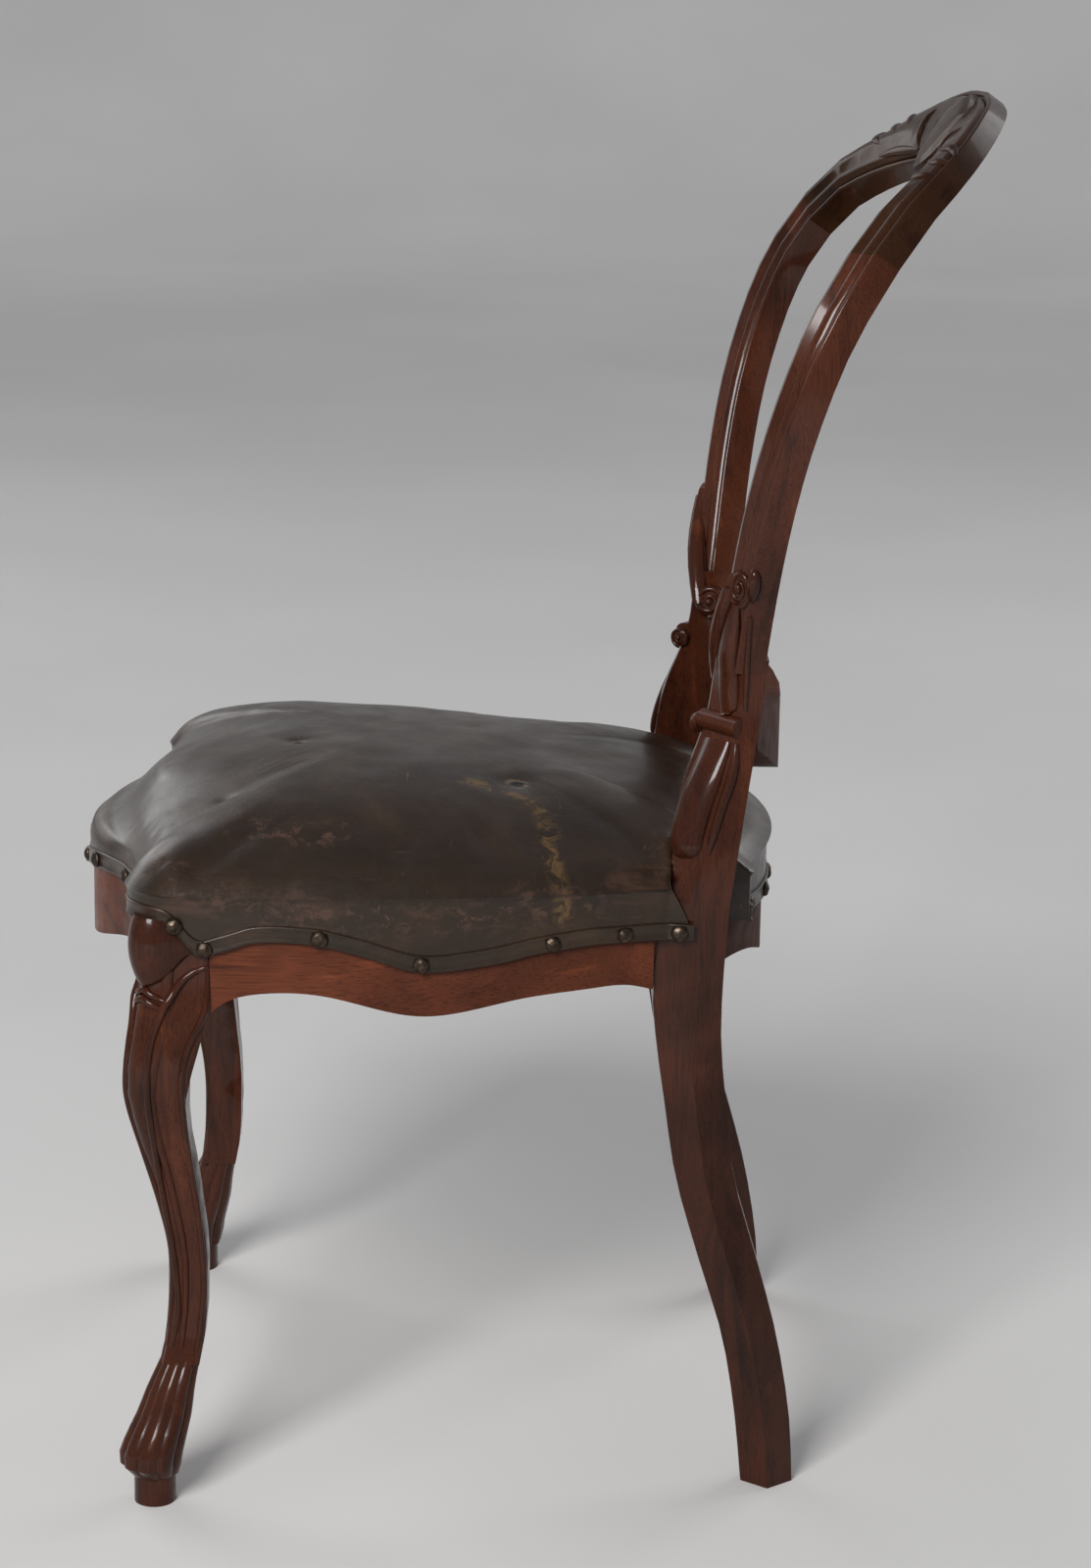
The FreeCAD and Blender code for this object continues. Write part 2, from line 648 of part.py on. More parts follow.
def banding(top):
    """Strip of leather nailed over the lower edge of the cover."""
    grow = leather + banding_thickness
    strip = skirt_pieces(leather, grow, 0, top)
    above = skirt_pieces(leather - 1, grow + 1, banding_height, top + 1)
    whole = strip[0].multiFuse(strip[1:], fuse_tolerance)
    return whole.cut(above)


def nail_seat(start, along):
    """Point of the banding's face on a level line from start, and the way out of the face there."""
    face = seat_outline(leather + banding_thickness, start.z, 0)
    reach = along * (2 * leg_outer_x)
    step = Vector(along.y, along.x, 0)
    places = []
    for shift in (Vector(0, 0, 0), step, -step):
        line = Part.makeLine(start + shift, start + shift + reach)
        places.append(face.distToShape(line)[1][0][0])
    tangent = places[1] - places[2]
    out = Vector(tangent.y, -tangent.x, 0).normalize()
    if out.dot(along) < 0:
        out = -out
    return places[0], out


def dome_nail(start, along):
    """Domed head of an upholstery nail, seated on the banding."""
    seat, out = nail_seat(start, along)
    base = seat + out * clearance
    ball = (nail_radius ** 2 + nail_height ** 2) / (2 * nail_height)
    centre = base + out * (nail_height - ball)
    edge = math.asin(nail_radius / ball)
    up = Vector(0, 0, 1)
    return loft([round_polygon(centre + out * (ball * math.cos(t)), up, out.cross(up), ball * math.sin(t), 12)
                 for t in (edge, 0.6 * edge, 0.2 * edge)])


def dome_nails():
    height = trim_z + banding_height / 2
    length = post_front_y - leg_back_y
    nails = []
    for y in side_nails:
        z = height + blend(side_trim, (y - leg_back_y) / length)
        nail = dome_nail(Vector(0, y, z), Vector(1, 0, 0))
        nails += [nail, mirrored(nail)]
    for xs, trim, reach, along in ((front_nails, front_trim, leg_inner_x, Vector(0, -1, 0)),
                                   (back_nails, back_trim, post_outer_x, Vector(0, 1, 0))):
        for x in xs:
            nail = dome_nail(Vector(x, 0, height + blend(trim, x / reach)), along)
            nails += [nail] if x == 0 else [nail, mirrored(nail)]
    return nails


def post_notch(gap):
    """Room for the post where the leather is cut round it."""
    high = waist_z
    low = rail_top - 60
    inner = post_inner_x - 4 - gap
    last = post_back_y + back_bow
    return box(inner, post_outer_x + gap, post_front_y + 3 - gap, last, low, high).fuse(
        box(inner, post_outer_x + back_bow, post_front_y + 27, last, low, high))


def joined(shapes):
    return Part.makeCompound(shapes)


def largest(shape):
    """The piece itself, without the slivers that are left where it is scribed to its neighbours."""
    return max(shape.Solids, key=lambda solid: solid.Volume)


# Inside the seat

def corner_block(plan):
    """Triangular block before it is scribed to the rails that it is glued into."""
    x, y, run_x, run_y = plan
    face = Part.Face(polygon([Vector(x, y, 0), Vector(x + run_x, y, 0), Vector(x, y + run_y, 0)]))
    block = face.extrude(Vector(0, 0, block_height))
    block.translate(Vector(0, 0, rail_top - block_drop - block_height))
    return block


def block_screws(plan, gap):
    """The two screws of a corner block, or with a gap the holes that they need."""
    x, y, run_x, run_y = plan
    z = rail_top - block_drop - block_height / 2
    into_x = Vector(-run_x, 0, 0).normalize()
    into_y = Vector(0, -run_y, 0).normalize()
    seats = [(Vector(x + (1 - screw_share) * run_x, y + screw_share * run_y, z) + into_x * screw_sink, into_x),
             (Vector(x + screw_share * run_x, y + (1 - screw_share) * run_y, z) + into_y * screw_sink, into_y)]
    screws = []
    for seat, into in seats:
        head_height = screw_head_height + 10 * gap
        head = Part.makeCylinder(screw_head_radius + gap, head_height, seat - into * head_height, into)
        shank = Part.makeCylinder(screw_radius + gap, screw_length - screw_head_height + gap, seat, into)
        screws.append(head.fuse(shank))
    return screws


def seat_dowels(gap):
    """Dowels of the rails on the right half, or with a gap their holes."""
    half = dowel_length / 2 + gap
    slant = dowel_turn * (back_y(post_inner_x) - back_y(post_inner_x - rail_thickness)) / rail_thickness
    back_along = Vector(1, slant, 0).normalize()
    back_middle_y = back_y(post_inner_x) - rail_thickness / 2 + dowel_shift
    dowels = []
    for drop in dowel_drops:
        z = rail_top - drop
        for x, y, along in ((leg_inner_x, front_y(leg_inner_x) + rail_thickness / 2, Vector(1, 0, 0)),
                            (side_x(leg_back_y) - rail_thickness / 2, leg_back_y, Vector(0, 1, 0)),
                            (post_x + 4, post_front_y, Vector(0, 1, 0)),
                            (post_inner_x, back_middle_y, back_along)):
            middle = Vector(x, y, z)
            dowels.append(Part.makeCylinder(dowel_radius + gap, 2 * half, middle - along * half, along))
    return dowels


def crest_dowels(gap):
    """Pair of dowels through the scarf joint on the right, or with a gap their holes."""
    inner, outer = joint_edges()
    start, across, width, front = frame_axes(inner, outer, 0)
    along = across.cross(front).normalize()
    half = small_dowel_length / 2 + gap
    dowels = []
    for share in (0.28, 0.72):
        middle = start + across * (share * width) + front * (arm_side * 0.6)
        dowels.append(Part.makeCylinder(small_dowel_radius + gap, 2 * half, middle - along * half, along))
    return dowels


def low_rail_dowel(gap):
    half = small_dowel_length / 2 + gap
    along = Vector(1, 0, 0)
    middle = Vector(waist_x - arm_width / 2, lean(waist_z) - 8.5, low_rail_z + 23)
    return Part.makeCylinder(small_dowel_radius + gap, 2 * half, middle - along * half, along)


def strap_ends():
    """Straps as (x0, x1, y0, y1, underside) and their tacks as (x, y, underside of the head)."""
    straps = []
    tacks = []
    half = webbing_width / 2
    side = tack_spread * half
    first_top = rail_top + webbing_thickness
    for y in spread(4, leg_back_y + 40, post_front_y - 40):
        reach = side_x(y) - tack_inset
        straps.append((-reach, reach, y - half, y + half, rail_top))
        for x in (-reach + tack_inset, reach - tack_inset):
            tacks += [(x, y - side, first_top), (x, y + side, first_top)]
    for x in spread(3, -0.55 * post_inner_x, 0.55 * post_inner_x):
        first = max(front_y(x - half), front_y(x + half)) + tack_inset
        last = min(back_y(x - half), back_y(x + half)) - tack_inset
        straps.append((x - half, x + half, first, last, first_top))
        for y in (first + tack_inset, last - tack_inset):
            tacks += [(x - side, y, first_top + webbing_thickness), (x + side, y, first_top + webbing_thickness)]
    return straps, tacks


def tack(x, y, z):
    corners = [Vector(x + tack_radius * math.cos(math.pi * i / 4), y + tack_radius * math.sin(math.pi * i / 4), z)
               for i in range(8)]
    head = Part.Face(polygon(corners)).extrude(Vector(0, 0, tack_head))
    return head.fuse(tack_hole(x, y, z, 0, tack_length))


def tack_hole(x, y, z, gap, length):
    half = tack_shank / 2 + gap
    return box(x - half, x + half, y - half, y + half, z - length, z)


os.makedirs("parts", exist_ok=True)
straps, tack_places = strap_ends()
tack_holes = [tack_hole(x, y, z, clearance, tack_length + clearance) for x, y, z in tack_places]
right_dowels = seat_dowels(0)
right_holes = seat_dowels(clearance)
dowel_holes = right_holes + [mirrored(hole) for hole in right_holes]
screws = [screw for plan in block_plans for screw in block_screws(plan, 0)]
screw_holes = [hole for plan in block_plans for hole in block_screws(plan, clearance)]
all_screw_holes = screw_holes + [mirrored(hole) for hole in screw_holes]
crest_holes = crest_dowels(clearance)
low_hole = low_rail_dowel(clearance)

leg_form = front_leg()
post_form = back_post()
leg = leg_form.cut(right_holes)
post = post_form.cut(right_holes + crest_holes + [low_hole])
export("left_front_leg", leg)
export("right_front_leg", mirrored(leg))
export("left_back_post", post)
export("right_back_post", mirrored(post))
legs = [leg_form, mirrored(leg_form)]
posts = [post_form, mirrored(post_form)]

export("crest_rail", crest_rail().cut(crest_holes + [mirrored(hole) for hole in crest_holes]))
export("lower_back_rail", lower_back_rail().cut(posts + [low_hole, mirrored(low_hole)]))
scroll = largest(waist_scroll().cut(post_form))
export("left_waist_scroll", scroll)
export("right_waist_scroll", mirrored(scroll))

side_form = side_rail().cut([leg_form, post_form])
front_form = front_rail().cut(legs)
back_form = back_rail().cut(posts)
side = side_form.cut(right_holes + screw_holes + tack_holes)
export("left_side_rail", side)
export("right_side_rail", mirrored(side))
export("front_seat_rail", front_form.cut(dowel_holes + all_screw_holes + tack_holes))
export("back_seat_rail", back_form.cut(dowel_holes + all_screw_holes + tack_holes))

for name, plan in zip(("front_corner_block", "back_corner_block"), block_plans):
    block = largest(corner_block(plan).cut([side_form, front_form, back_form, leg_form, post_form] + screw_holes))
    export("left_" + name, block)
    export("right_" + name, mirrored(block))
export("block_screws", joined(screws + [mirrored(screw) for screw in screws]))
export("seat_dowels", joined(right_dowels + [mirrored(dowel) for dowel in right_dowels]))
pegs = crest_dowels(0)
export("crest_dowels", joined(pegs + [mirrored(peg) for peg in pegs]))
low_peg = low_rail_dowel(0)
export("lower_rail_dowels", joined([low_peg, mirrored(low_peg)]))

webbing = [box(x0, x1, y0, y1, z, z + webbing_thickness).cut(tack_holes) for x0, x1, y0, y1, z in straps]
across = [strap for strap in webbing if strap.BoundBox.XLength > strap.BoundBox.YLength]
along = [strap for strap in webbing if strap.BoundBox.XLength < strap.BoundBox.YLength]
export("webbing_across", joined(across))
export("webbing_along", joined(along))
export("webbing_tacks", joined([tack(x, y, z) for x, y, z in tack_places]))

hessian_z = rail_top + 2 * webbing_thickness + tack_head
base = hessian_z + hessian_thickness
hessian = Part.Face(seat_outline(-hessian_inset, hessian_z, 0)).extrude(Vector(0, 0, hessian_thickness))
loose_notches = [post_notch(1.5), mirrored(post_notch(1.5))]
export("hessian", hessian.cut(loose_notches))
export("stuffing", cushion(leather + clearance, base + clearance).cut(loose_notches))

shift = Vector(clearance, -clearance, 0)
leg_room = leg_form.translated(shift)
rooms = [post_notch(0.5), mirrored(post_notch(0.5)), leg_room, mirrored(leg_room)]
skirt = skirt_pieces(clearance, leather, 0, base)
cover = cushion(0, base).cut(cushion(leather, base)).multiFuse(skirt, fuse_tolerance).cut(rooms)
export("leather_cover", cover)
band = banding(trim_z + 60).cut(rooms)
bands = sorted(band.Solids, key=lambda solid: solid.BoundBox.YMin)
export("leather_banding", bands[0])
export("back_banding", bands[-1])
export("dome_nails", joined(dome_nails()))
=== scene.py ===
import math
from contextlib import contextmanager
from math import radians

import bmesh
import bpy
import numpy as np
from bpy.props import FloatProperty, FloatVectorProperty, PointerProperty
from mathutils import Matrix, Vector, noise
from mathutils.bvhtree import BVHTree
from mathutils.kdtree import KDTree


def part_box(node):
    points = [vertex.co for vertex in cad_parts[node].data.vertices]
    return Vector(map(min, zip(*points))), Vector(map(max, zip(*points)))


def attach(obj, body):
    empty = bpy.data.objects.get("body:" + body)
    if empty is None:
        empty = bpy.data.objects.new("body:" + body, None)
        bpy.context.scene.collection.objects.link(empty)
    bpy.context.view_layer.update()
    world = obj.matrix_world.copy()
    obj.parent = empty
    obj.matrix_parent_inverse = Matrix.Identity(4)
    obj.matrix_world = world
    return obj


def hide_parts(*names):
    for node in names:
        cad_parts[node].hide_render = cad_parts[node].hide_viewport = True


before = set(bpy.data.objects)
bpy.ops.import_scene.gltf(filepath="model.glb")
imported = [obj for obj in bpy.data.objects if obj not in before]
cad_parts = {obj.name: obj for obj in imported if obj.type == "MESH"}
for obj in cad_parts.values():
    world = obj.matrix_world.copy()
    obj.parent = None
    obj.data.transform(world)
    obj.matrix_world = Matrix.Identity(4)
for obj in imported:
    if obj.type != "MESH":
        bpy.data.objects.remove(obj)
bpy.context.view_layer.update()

bl_info = {
    "name": "Medallion back chair",
    "version": (1, 0, 0),
    "blender": (4, 5, 0),
    "location": "View3D > Sidebar > Chair",
    "description": "Polishes, upholsters and lights a Victorian medallion back dining chair",
    "category": "Object",
}

BODY = "root"

# High corners of the pieces that give the leather seat its place and its height
LEG_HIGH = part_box("left_front_leg")[1]
COVER_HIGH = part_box("leather_cover")[1]
HESSIAN_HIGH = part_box("hessian")[1]

# Each shown piece of wood, with the axis of its grain and its kind of polish
SHOWN_WOOD = {
    "left_front_leg": ("z", "leg"), "right_front_leg": ("z", "leg"),
    "left_back_post": ("z", "post"), "right_back_post": ("z", "post"),
    "crest_rail": ("x", "crest"), "lower_back_rail": ("x", "back"),
    "left_waist_scroll": ("z", "post"), "right_waist_scroll": ("z", "post"),
    "left_side_rail": ("y", "rail"), "right_side_rail": ("y", "rail"),
    "front_seat_rail": ("x", "rail"), "back_seat_rail": ("x", "back"),
}
PLAIN_WOOD = ("left_front_corner_block", "right_front_corner_block", "left_back_corner_block",
              "right_back_corner_block", "seat_dowels", "crest_dowels", "lower_rail_dowels")
IRON = ("block_screws", "webbing_tacks")
WEBBING = ("webbing_across", "webbing_along")


# Sizes and colours that a user would change

def colour_of(name, description, default):
    return FloatVectorProperty(name=name, description=description, subtype="COLOR", default=default)


def length_of(name, description, default):
    return FloatProperty(name=name, description=description, unit="LENGTH", default=default)


class ChairWood(bpy.types.PropertyGroup):
    dark: colour_of("Dark grain", "Colour of the pores and shaded polish", (0.018, 0.0055, 0.0030))
    middle: colour_of("Polish", "Colour of most of the wood", (0.066, 0.0180, 0.0080))
    light: colour_of("Worn polish", "Colour where the polish has rubbed thin", (0.150, 0.0400, 0.0145))
    pore_length: length_of("Pore length", "Length of a pore along the grain", 0.018)
    edge_angle: FloatProperty(name="Edge angle", description="Edges sharper than this stay crisp",
                              subtype="ANGLE", default=radians(34))


class ChairLeather(bpy.types.PropertyGroup):
    colour: colour_of("Leather", "Colour of the dark hide", (0.0200, 0.0105, 0.0050))
    worn: colour_of("Worn leather", "Colour of rubbed places", (0.100, 0.050, 0.034))
    stain: colour_of("Stain", "Colour of the tan stain", (0.150, 0.085, 0.026))
    cell: length_of("Mesh size", "Edge length of the simulated hide", 0.0055)
    pressure: FloatProperty(name="Pressure", description="How hard the stuffing pushes", default=4.0)
    swell: length_of("Largest swell", "How far the hide may move", 0.006)
    strip: length_of("Banding height", "Height of the leather banding", 0.0108)


class ChairNails(bpy.types.PropertyGroup):
    radius: length_of("Radius", "Radius of a dome nail", 0.0055)
    height: length_of("Height", "Height of a dome nail", 0.0032)
    dent: length_of("Dents", "Depth of the dents in a dome nail", 0.0016)
    colour: colour_of("Colour", "Tarnished brass", (0.062, 0.044, 0.032))


class ChairStage(bpy.types.PropertyGroup):
    floor: colour_of("Floor", "Colour of floor and backdrop", (0.60, 0.59, 0.575))
    key: FloatProperty(name="Key lamp", description="Power of the key lamp in watts", default=125.0)
    fill: FloatProperty(name="Fill lamp", description="Power of the fill lamps in watts", default=42.0)
    sky: FloatProperty(name="Room light", description="Strength of the even light of the room", default=0.26)


GROUPS = {"chair_wood": ChairWood, "chair_leather": ChairLeather, "chair_nails": ChairNails,
          "chair_stage": ChairStage}


# Shared helpers

def new_object(name, mesh):
    piece = bpy.data.objects.new(name, mesh)
    bpy.context.scene.collection.objects.link(piece)
    return piece


def mesh_from(name, points, faces):
    mesh = bpy.data.meshes.new(name)
    mesh.from_pydata([tuple(p) for p in points], [], faces)
    mesh.update()
    return mesh


@contextmanager
def edited(mesh):
    """Opens a mesh for editing, and writes it back at the end."""
    bm = bmesh.new()
    bm.from_mesh(mesh)
    yield bm
    bm.to_mesh(mesh)
    bm.free()


def outwards(mesh):
    with edited(mesh) as bm:
        bmesh.ops.remove_doubles(bm, verts=bm.verts, dist=1e-6)
        bmesh.ops.recalc_face_normals(bm, faces=bm.faces)


def smooth(mesh, angle=None):
    """Smooth shading, with edges sharper than the angle kept crisp."""
    with edited(mesh) as bm:
        for face in bm.faces:
            face.smooth = True
        for edge in bm.edges:
            edge.smooth = angle is None or len(edge.link_faces) != 2 or edge.calc_face_angle(0) < angle


def tube_faces(base, rings, sides):
    """Faces between rings of points that follow each other from a place in a list on."""
    faces = []
    for a in range(base, base + (rings - 1) * sides, sides):
        b = a + sides
        for i in range(sides):
            j = (i + 1) % sides
            faces.append((a + i, b + i, b + j, a + j))
    return faces


def welded_copy(node, name):
    """Mesh of a CAD node with its loose triangles joined."""
    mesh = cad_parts[node].data.copy()
    mesh.name = name
    mesh.materials.clear()
    if "custom_normal" in mesh.attributes:
        mesh.attributes.remove(mesh.attributes["custom_normal"])
    with edited(mesh) as bm:
        bmesh.ops.remove_doubles(bm, verts=bm.verts, dist=2e-6)
        bmesh.ops.dissolve_degenerate(bm, edges=bm.edges, dist=1e-6)
    return mesh


def dress(piece, material, slot, *nodes):
    """Gives a finished piece its material and its place in the frame."""
    piece.data.materials.clear()
    piece.data.materials.append(material)
    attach(piece, BODY)
    if nodes:
        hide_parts(*nodes)


def paint_node(node, material):
    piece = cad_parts[node]
    for slot in piece.material_slots:
        slot.material = material


def blend_rows(rows, t, column=1):
    """Smooth curve through rows that are sorted by their first column."""
    last = len(rows) - 1
    i = 0
    while i < last - 1 and t > rows[i + 1][0]:
        i += 1

    def slope(k):
        low = rows[max(k - 1, 0)]
        high = rows[min(k + 1, last)]
        return (high[column] - low[column]) / (high[0] - low[0])

    span = rows[i + 1][0] - rows[i][0]
    s = min(max((t - rows[i][0]) / span, 0.0), 1.0)
    return ((2 * s ** 3 - 3 * s ** 2 + 1) * rows[i][column] + (s ** 3 - 2 * s ** 2 + s) * span * slope(i)
            + (3 * s ** 2 - 2 * s ** 3) * rows[i + 1][column] + (s ** 3 - s ** 2) * span * slope(i + 1))


def smoothstep(low, high, x):
    t = min(max((x - low) / (high - low), 0.0), 1.0)
    return t * t * (3 - 2 * t)


# Node helpers

class Net:
    """Adds and links the nodes of one node tree."""

    def __init__(self, tree):
        self.tree = tree

    def feed(self, socket, value):
        """Links a socket to an output of another node, or sets its constant."""
        if isinstance(value, bpy.types.NodeSocket):
            self.tree.links.new(value, socket)
        elif socket.type == "RGBA":
            socket.default_value = (*value, 1.0)
        else:
            socket.default_value = value

    def add(self, kind, inputs, **settings):
        """Outputs of a new node, whose inputs are given by name or number."""
        node = self.tree.nodes.new(kind)
        for key, value in settings.items():
            setattr(node, key, value)
        for key, value in inputs.items():
            self.feed(node.inputs[key], value)
        return node.outputs

    def math(self, operation, first, second, clamp=False):
        return self.add("ShaderNodeMath", {0: first, 1: second},
                        operation=operation, use_clamp=clamp)["Value"]


class Shader(Net):
    """Node tree of one material, whose textures follow the Object coordinates."""

    def __init__(self, name):
        self.material = bpy.data.materials.get(name)
        self.fresh = self.material is None
        if self.fresh:
            self.material = bpy.data.materials.new(name)
            self.material.use_nodes = True
            super().__init__(self.material.node_tree)
            self.surface = self.tree.nodes["Principled BSDF"]

    def place(self, scale=(1, 1, 1), turn=(0, 0, 0)):
        """Object coordinates, stretched and turned."""
        where = self.add("ShaderNodeTexCoord", {})["Object"]
        return self.add("ShaderNodeMapping", {"Vector": where, "Scale": scale, "Rotation": turn})["Vector"]

    def noise(self, vector, scale, detail=4.0, rough=0.55, distortion=0.0):
        return self.add("ShaderNodeTexNoise", {"Vector": vector, "Scale": scale, "Detail": detail,
                                               "Roughness": rough, "Distortion": distortion})["Fac"]

    def cells(self, vector, scale):
        """Distance from the edges of a network of cells."""
        return self.add("ShaderNodeTexVoronoi", {"Vector": vector, "Scale": scale},
                        feature="DISTANCE_TO_EDGE")["Distance"]

    def ramp(self, value, stops):
        """Colour ramp through (place, colour or grey) stops."""
        node = self.tree.nodes.new("ShaderNodeValToRGB")
        elements = node.color_ramp.elements
        while len(elements) < len(stops):
            elements.new(0.5)
        for element, (place, colour) in zip(elements, stops):
            element.position = place
            if isinstance(colour, (int, float)):
                colour = (colour, colour, colour)
            element.color = (*colour, 1.0)
        self.feed(node.inputs["Fac"], value)
        return node.outputs["Color"]

    def mix(self, amount, first, second, blend="MIX"):
        outputs = self.add("ShaderNodeMix", {"Factor": amount, "A": first, "B": second},
                           data_type="RGBA", blend_type=blend)
        # The colour output comes after the number and vector ones of the same name.
        return [output for output in outputs if output.type == "RGBA"][0]

    def map_range(self, value, low, high, to_low=0.0, to_high=1.0):
        return self.add("ShaderNodeMapRange", {"Value": value, "From Min": low, "From Max": high,
                                               "To Min": to_low, "To Max": to_high},
                        interpolation_type="SMOOTHSTEP")["Result"]

    def bump(self, height, strength, distance, after=None):
        inputs = {"Strength": strength, "Distance": distance, "Height": height}
        if after is not None:
            inputs["Normal"] = after
        return self.add("ShaderNodeBump", inputs)["Normal"]

    def finish(self, colour, roughness, normal, *others):
        """Feeds the surface, with the others as pairs of an input's name and its value."""
        for key, value in (("Base Color", colour), ("Roughness", roughness), ("Normal", normal), *others):
            self.feed(self.surface.inputs[key], value)
        return self.material


# Materials

GRAIN = {"x": (1.0, 9.0, 9.0), "y": (9.0, 1.0, 9.0), "z": (9.0, 9.0, 1.0)}

# Tone, worn places, roughness where bright and where dull, specular level and coat of each kind of wood
WOOD_KINDS = {
    "leg": (0.85, 0.30, 0.16, 0.34, 0.06, 0.36),
    "post": (0.88, 0.30, 0.16, 0.34, 0.06, 0.36),
    "carving": (0.72, 0.30, 0.16, 0.34, 0.06, 0.36),
    "crest": (0.60, 0.30, 0.26, 0.44, 0.06, 0.18),
    "rail": (1.9, 0.55, 0.32, 0.52, 0.12, 0.05),
    "back": (0.9, 0.30, 0.50, 0.70, 0.10, 0.0),
}


def polished_wood(axis, kind):
    """Dark French polished hardwood, with its grain along one axis."""
    shader = Shader("polished_" + kind + "_" + axis)
    if not shader.fresh:
        return shader.material
    tone, worn, bright, dull, specular, coat = WOOD_KINDS[kind]
    wood = bpy.context.scene.chair_wood
    dark, middle, light = (Vector(colour) * tone for colour in (wood.dark, wood.middle, wood.light))
    if kind == "crest":
        middle = Vector((middle.x * 0.92, middle.y * 1.25, middle.z * 1.1))
    stretch = GRAIN[axis]
    figure = shader.noise(shader.place(stretch), 5.0, 6.0, 0.62, 0.8)
    colour = shader.ramp(figure, [(0.26, dark), (0.47, middle), (0.60, middle), (0.80, light)])
    pores = shader.noise(shader.place(tuple(s * s for s in stretch)), 0.35 / wood.pore_length, 3.0, 0.7, 0.1)
    streaks = shader.ramp(pores, [(0.36, 0.30), (0.50, 1.0)])
    colour = shader.mix(0.75, colour, streaks, "MULTIPLY")
    blotch = shader.noise(shader.place(), 9.0, 3.0, 0.6, 0.3)
    shade = shader.ramp(blotch, [(0.32, 0.42), (0.56, 1.0), (0.78, 1.35)])
    colour = shader.mix(0.8, colour, shade, "MULTIPLY")
    thin = shader.noise(shader.place(), 23.0, 5.0, 0.7, 0.4)
    colour = shader.mix(shader.map_range(thin, 0.60, 0.74, 0.0, worn), colour, light)
    film = shader.noise(shader.place(), 60.0, 4.0, 0.6)
    roughness = shader.ramp(film, [(0.30, bright), (0.72, dull)])
    ripple = shader.noise(shader.place(stretch), 26.0, 2.0, 0.5)
    normal = shader.bump(pores, 0.10, 0.0003, shader.bump(ripple, 0.12, 0.0008))
    return shader.finish(colour, roughness, normal, ("Specular IOR Level", specular), ("Coat Weight", coat),
                         ("Coat Roughness", 0.09), ("Coat IOR", 1.5))


def plain_wood():
    shader = Shader("plain_beech")
    if not shader.fresh:
        return shader.material
    figure = shader.noise(shader.place((1, 9, 9)), 12.0, 5.0, 0.6, 0.5)
    colour = shader.ramp(figure, [(0.3, (0.22, 0.12, 0.055)), (0.7, (0.42, 0.26, 0.13))])
    flecks = shader.noise(shader.place((3, 60, 60)), 8.0, 2.0, 0.6)
    colour = shader.mix(0.4, colour, shader.ramp(flecks, [(0.4, 0.5), (0.55, 1.0)]), "MULTIPLY")
    roughness = shader.ramp(figure, [(0.2, 0.55), (0.8, 0.8)])
    return shader.finish(colour, roughness, shader.bump(flecks, 0.2, 0.0004))


def dark_iron():
    shader = Shader("dark_iron")
    if not shader.fresh:
        return shader.material
    rust = shader.noise(shader.place(), 220.0, 4.0, 0.65)
    colour = shader.ramp(rust, [(0.42, (0.030, 0.028, 0.026)), (0.66, (0.11, 0.045, 0.018))])
    roughness = shader.ramp(rust, [(0.3, 0.38), (0.7, 0.85)])
    return shader.finish(colour, roughness, shader.bump(rust, 0.25, 0.0003), ("Metallic", 0.85))


def jute(name, pitch, colours, turn=0.0):
    """Woven jute: two crossing sets of threads with dusty colour variation."""
    shader = Shader(name)
    if not shader.fresh:
        return shader.material
    threads = [shader.add("ShaderNodeTexWave", {"Vector": shader.place(turn=(0, 0, turn)), "Detail": 2.0,
                                                "Scale": 0.5 / pitch / math.pi, "Distortion": 0.6},
                          wave_type="BANDS", bands_direction=axis)["Fac"] for axis in ("X", "Y")]
    weave = shader.math("MULTIPLY", *threads)
    dust = shader.noise(shader.place(), 40.0, 4.0, 0.7)
    colour = shader.ramp(dust, [(0.3, colours[0]), (0.7, colours[1])])
    colour = shader.mix(0.7, colour, shader.ramp(weave, [(0.05, 0.35), (0.6, 1.0)]), "MULTIPLY")
    roughness = shader.ramp(dust, [(0.2, 0.85), (0.8, 0.98)])
    return shader.finish(colour, roughness, shader.bump(weave, 0.6, 0.0008), ("Sheen Weight", 0.25))


def marked(shader, colour, plain, stain, worn):
    """The hide's colour with its stain, its scuffed lines and its torn spots, which the mesh carries, with
    painted shade in the middle of each torn spot.
    """
    near = {name: shader.add("ShaderNodeAttribute", {}, attribute_name=name)["Fac"] for name in MARKS}
    blots = shader.noise(plain, 75.0, 6.0, 0.75, 0.8)
    flakes = shader.noise(shader.place((1, 1, 1.5)), 95.0, 7.0, 0.72, 0.6)
    mark = shader.math("MULTIPLY", shader.map_range(near["stain"], 0.10, 0.90),
                       shader.map_range(blots, 0.44, 0.60))
    colour = shader.mix(shader.math("MULTIPLY", mark, 0.62), colour, stain)
    scuffed = shader.math("MULTIPLY", near["scuff"], shader.map_range(flakes, 0.50, 0.62))
    colour = shader.mix(shader.math("MULTIPLY", scuffed, 0.55), colour, worn)
    pale = shader.math("MULTIPLY", shader.map_range(near["tear_with_hole_shade"], 0.10, 0.35),
                       shader.map_range(blots, 0.42, 0.56))
    colour = shader.mix(shader.math("MULTIPLY", pale, 0.8), colour, (0.12, 0.085, 0.055))
    # Painted shade: the middle of each torn spot turns near black, standing in for the shade inside the hole.
    return shader.mix(shader.map_range(near["tear_with_hole_shade"], 0.50, 0.72), colour, (0.002, 0.0015, 0.001))


# Heights between which the rubbed belt of the hide's side sets in and fades out
RUBBED_BELT = ((0.374, 0.392), (0.437, 0.410))


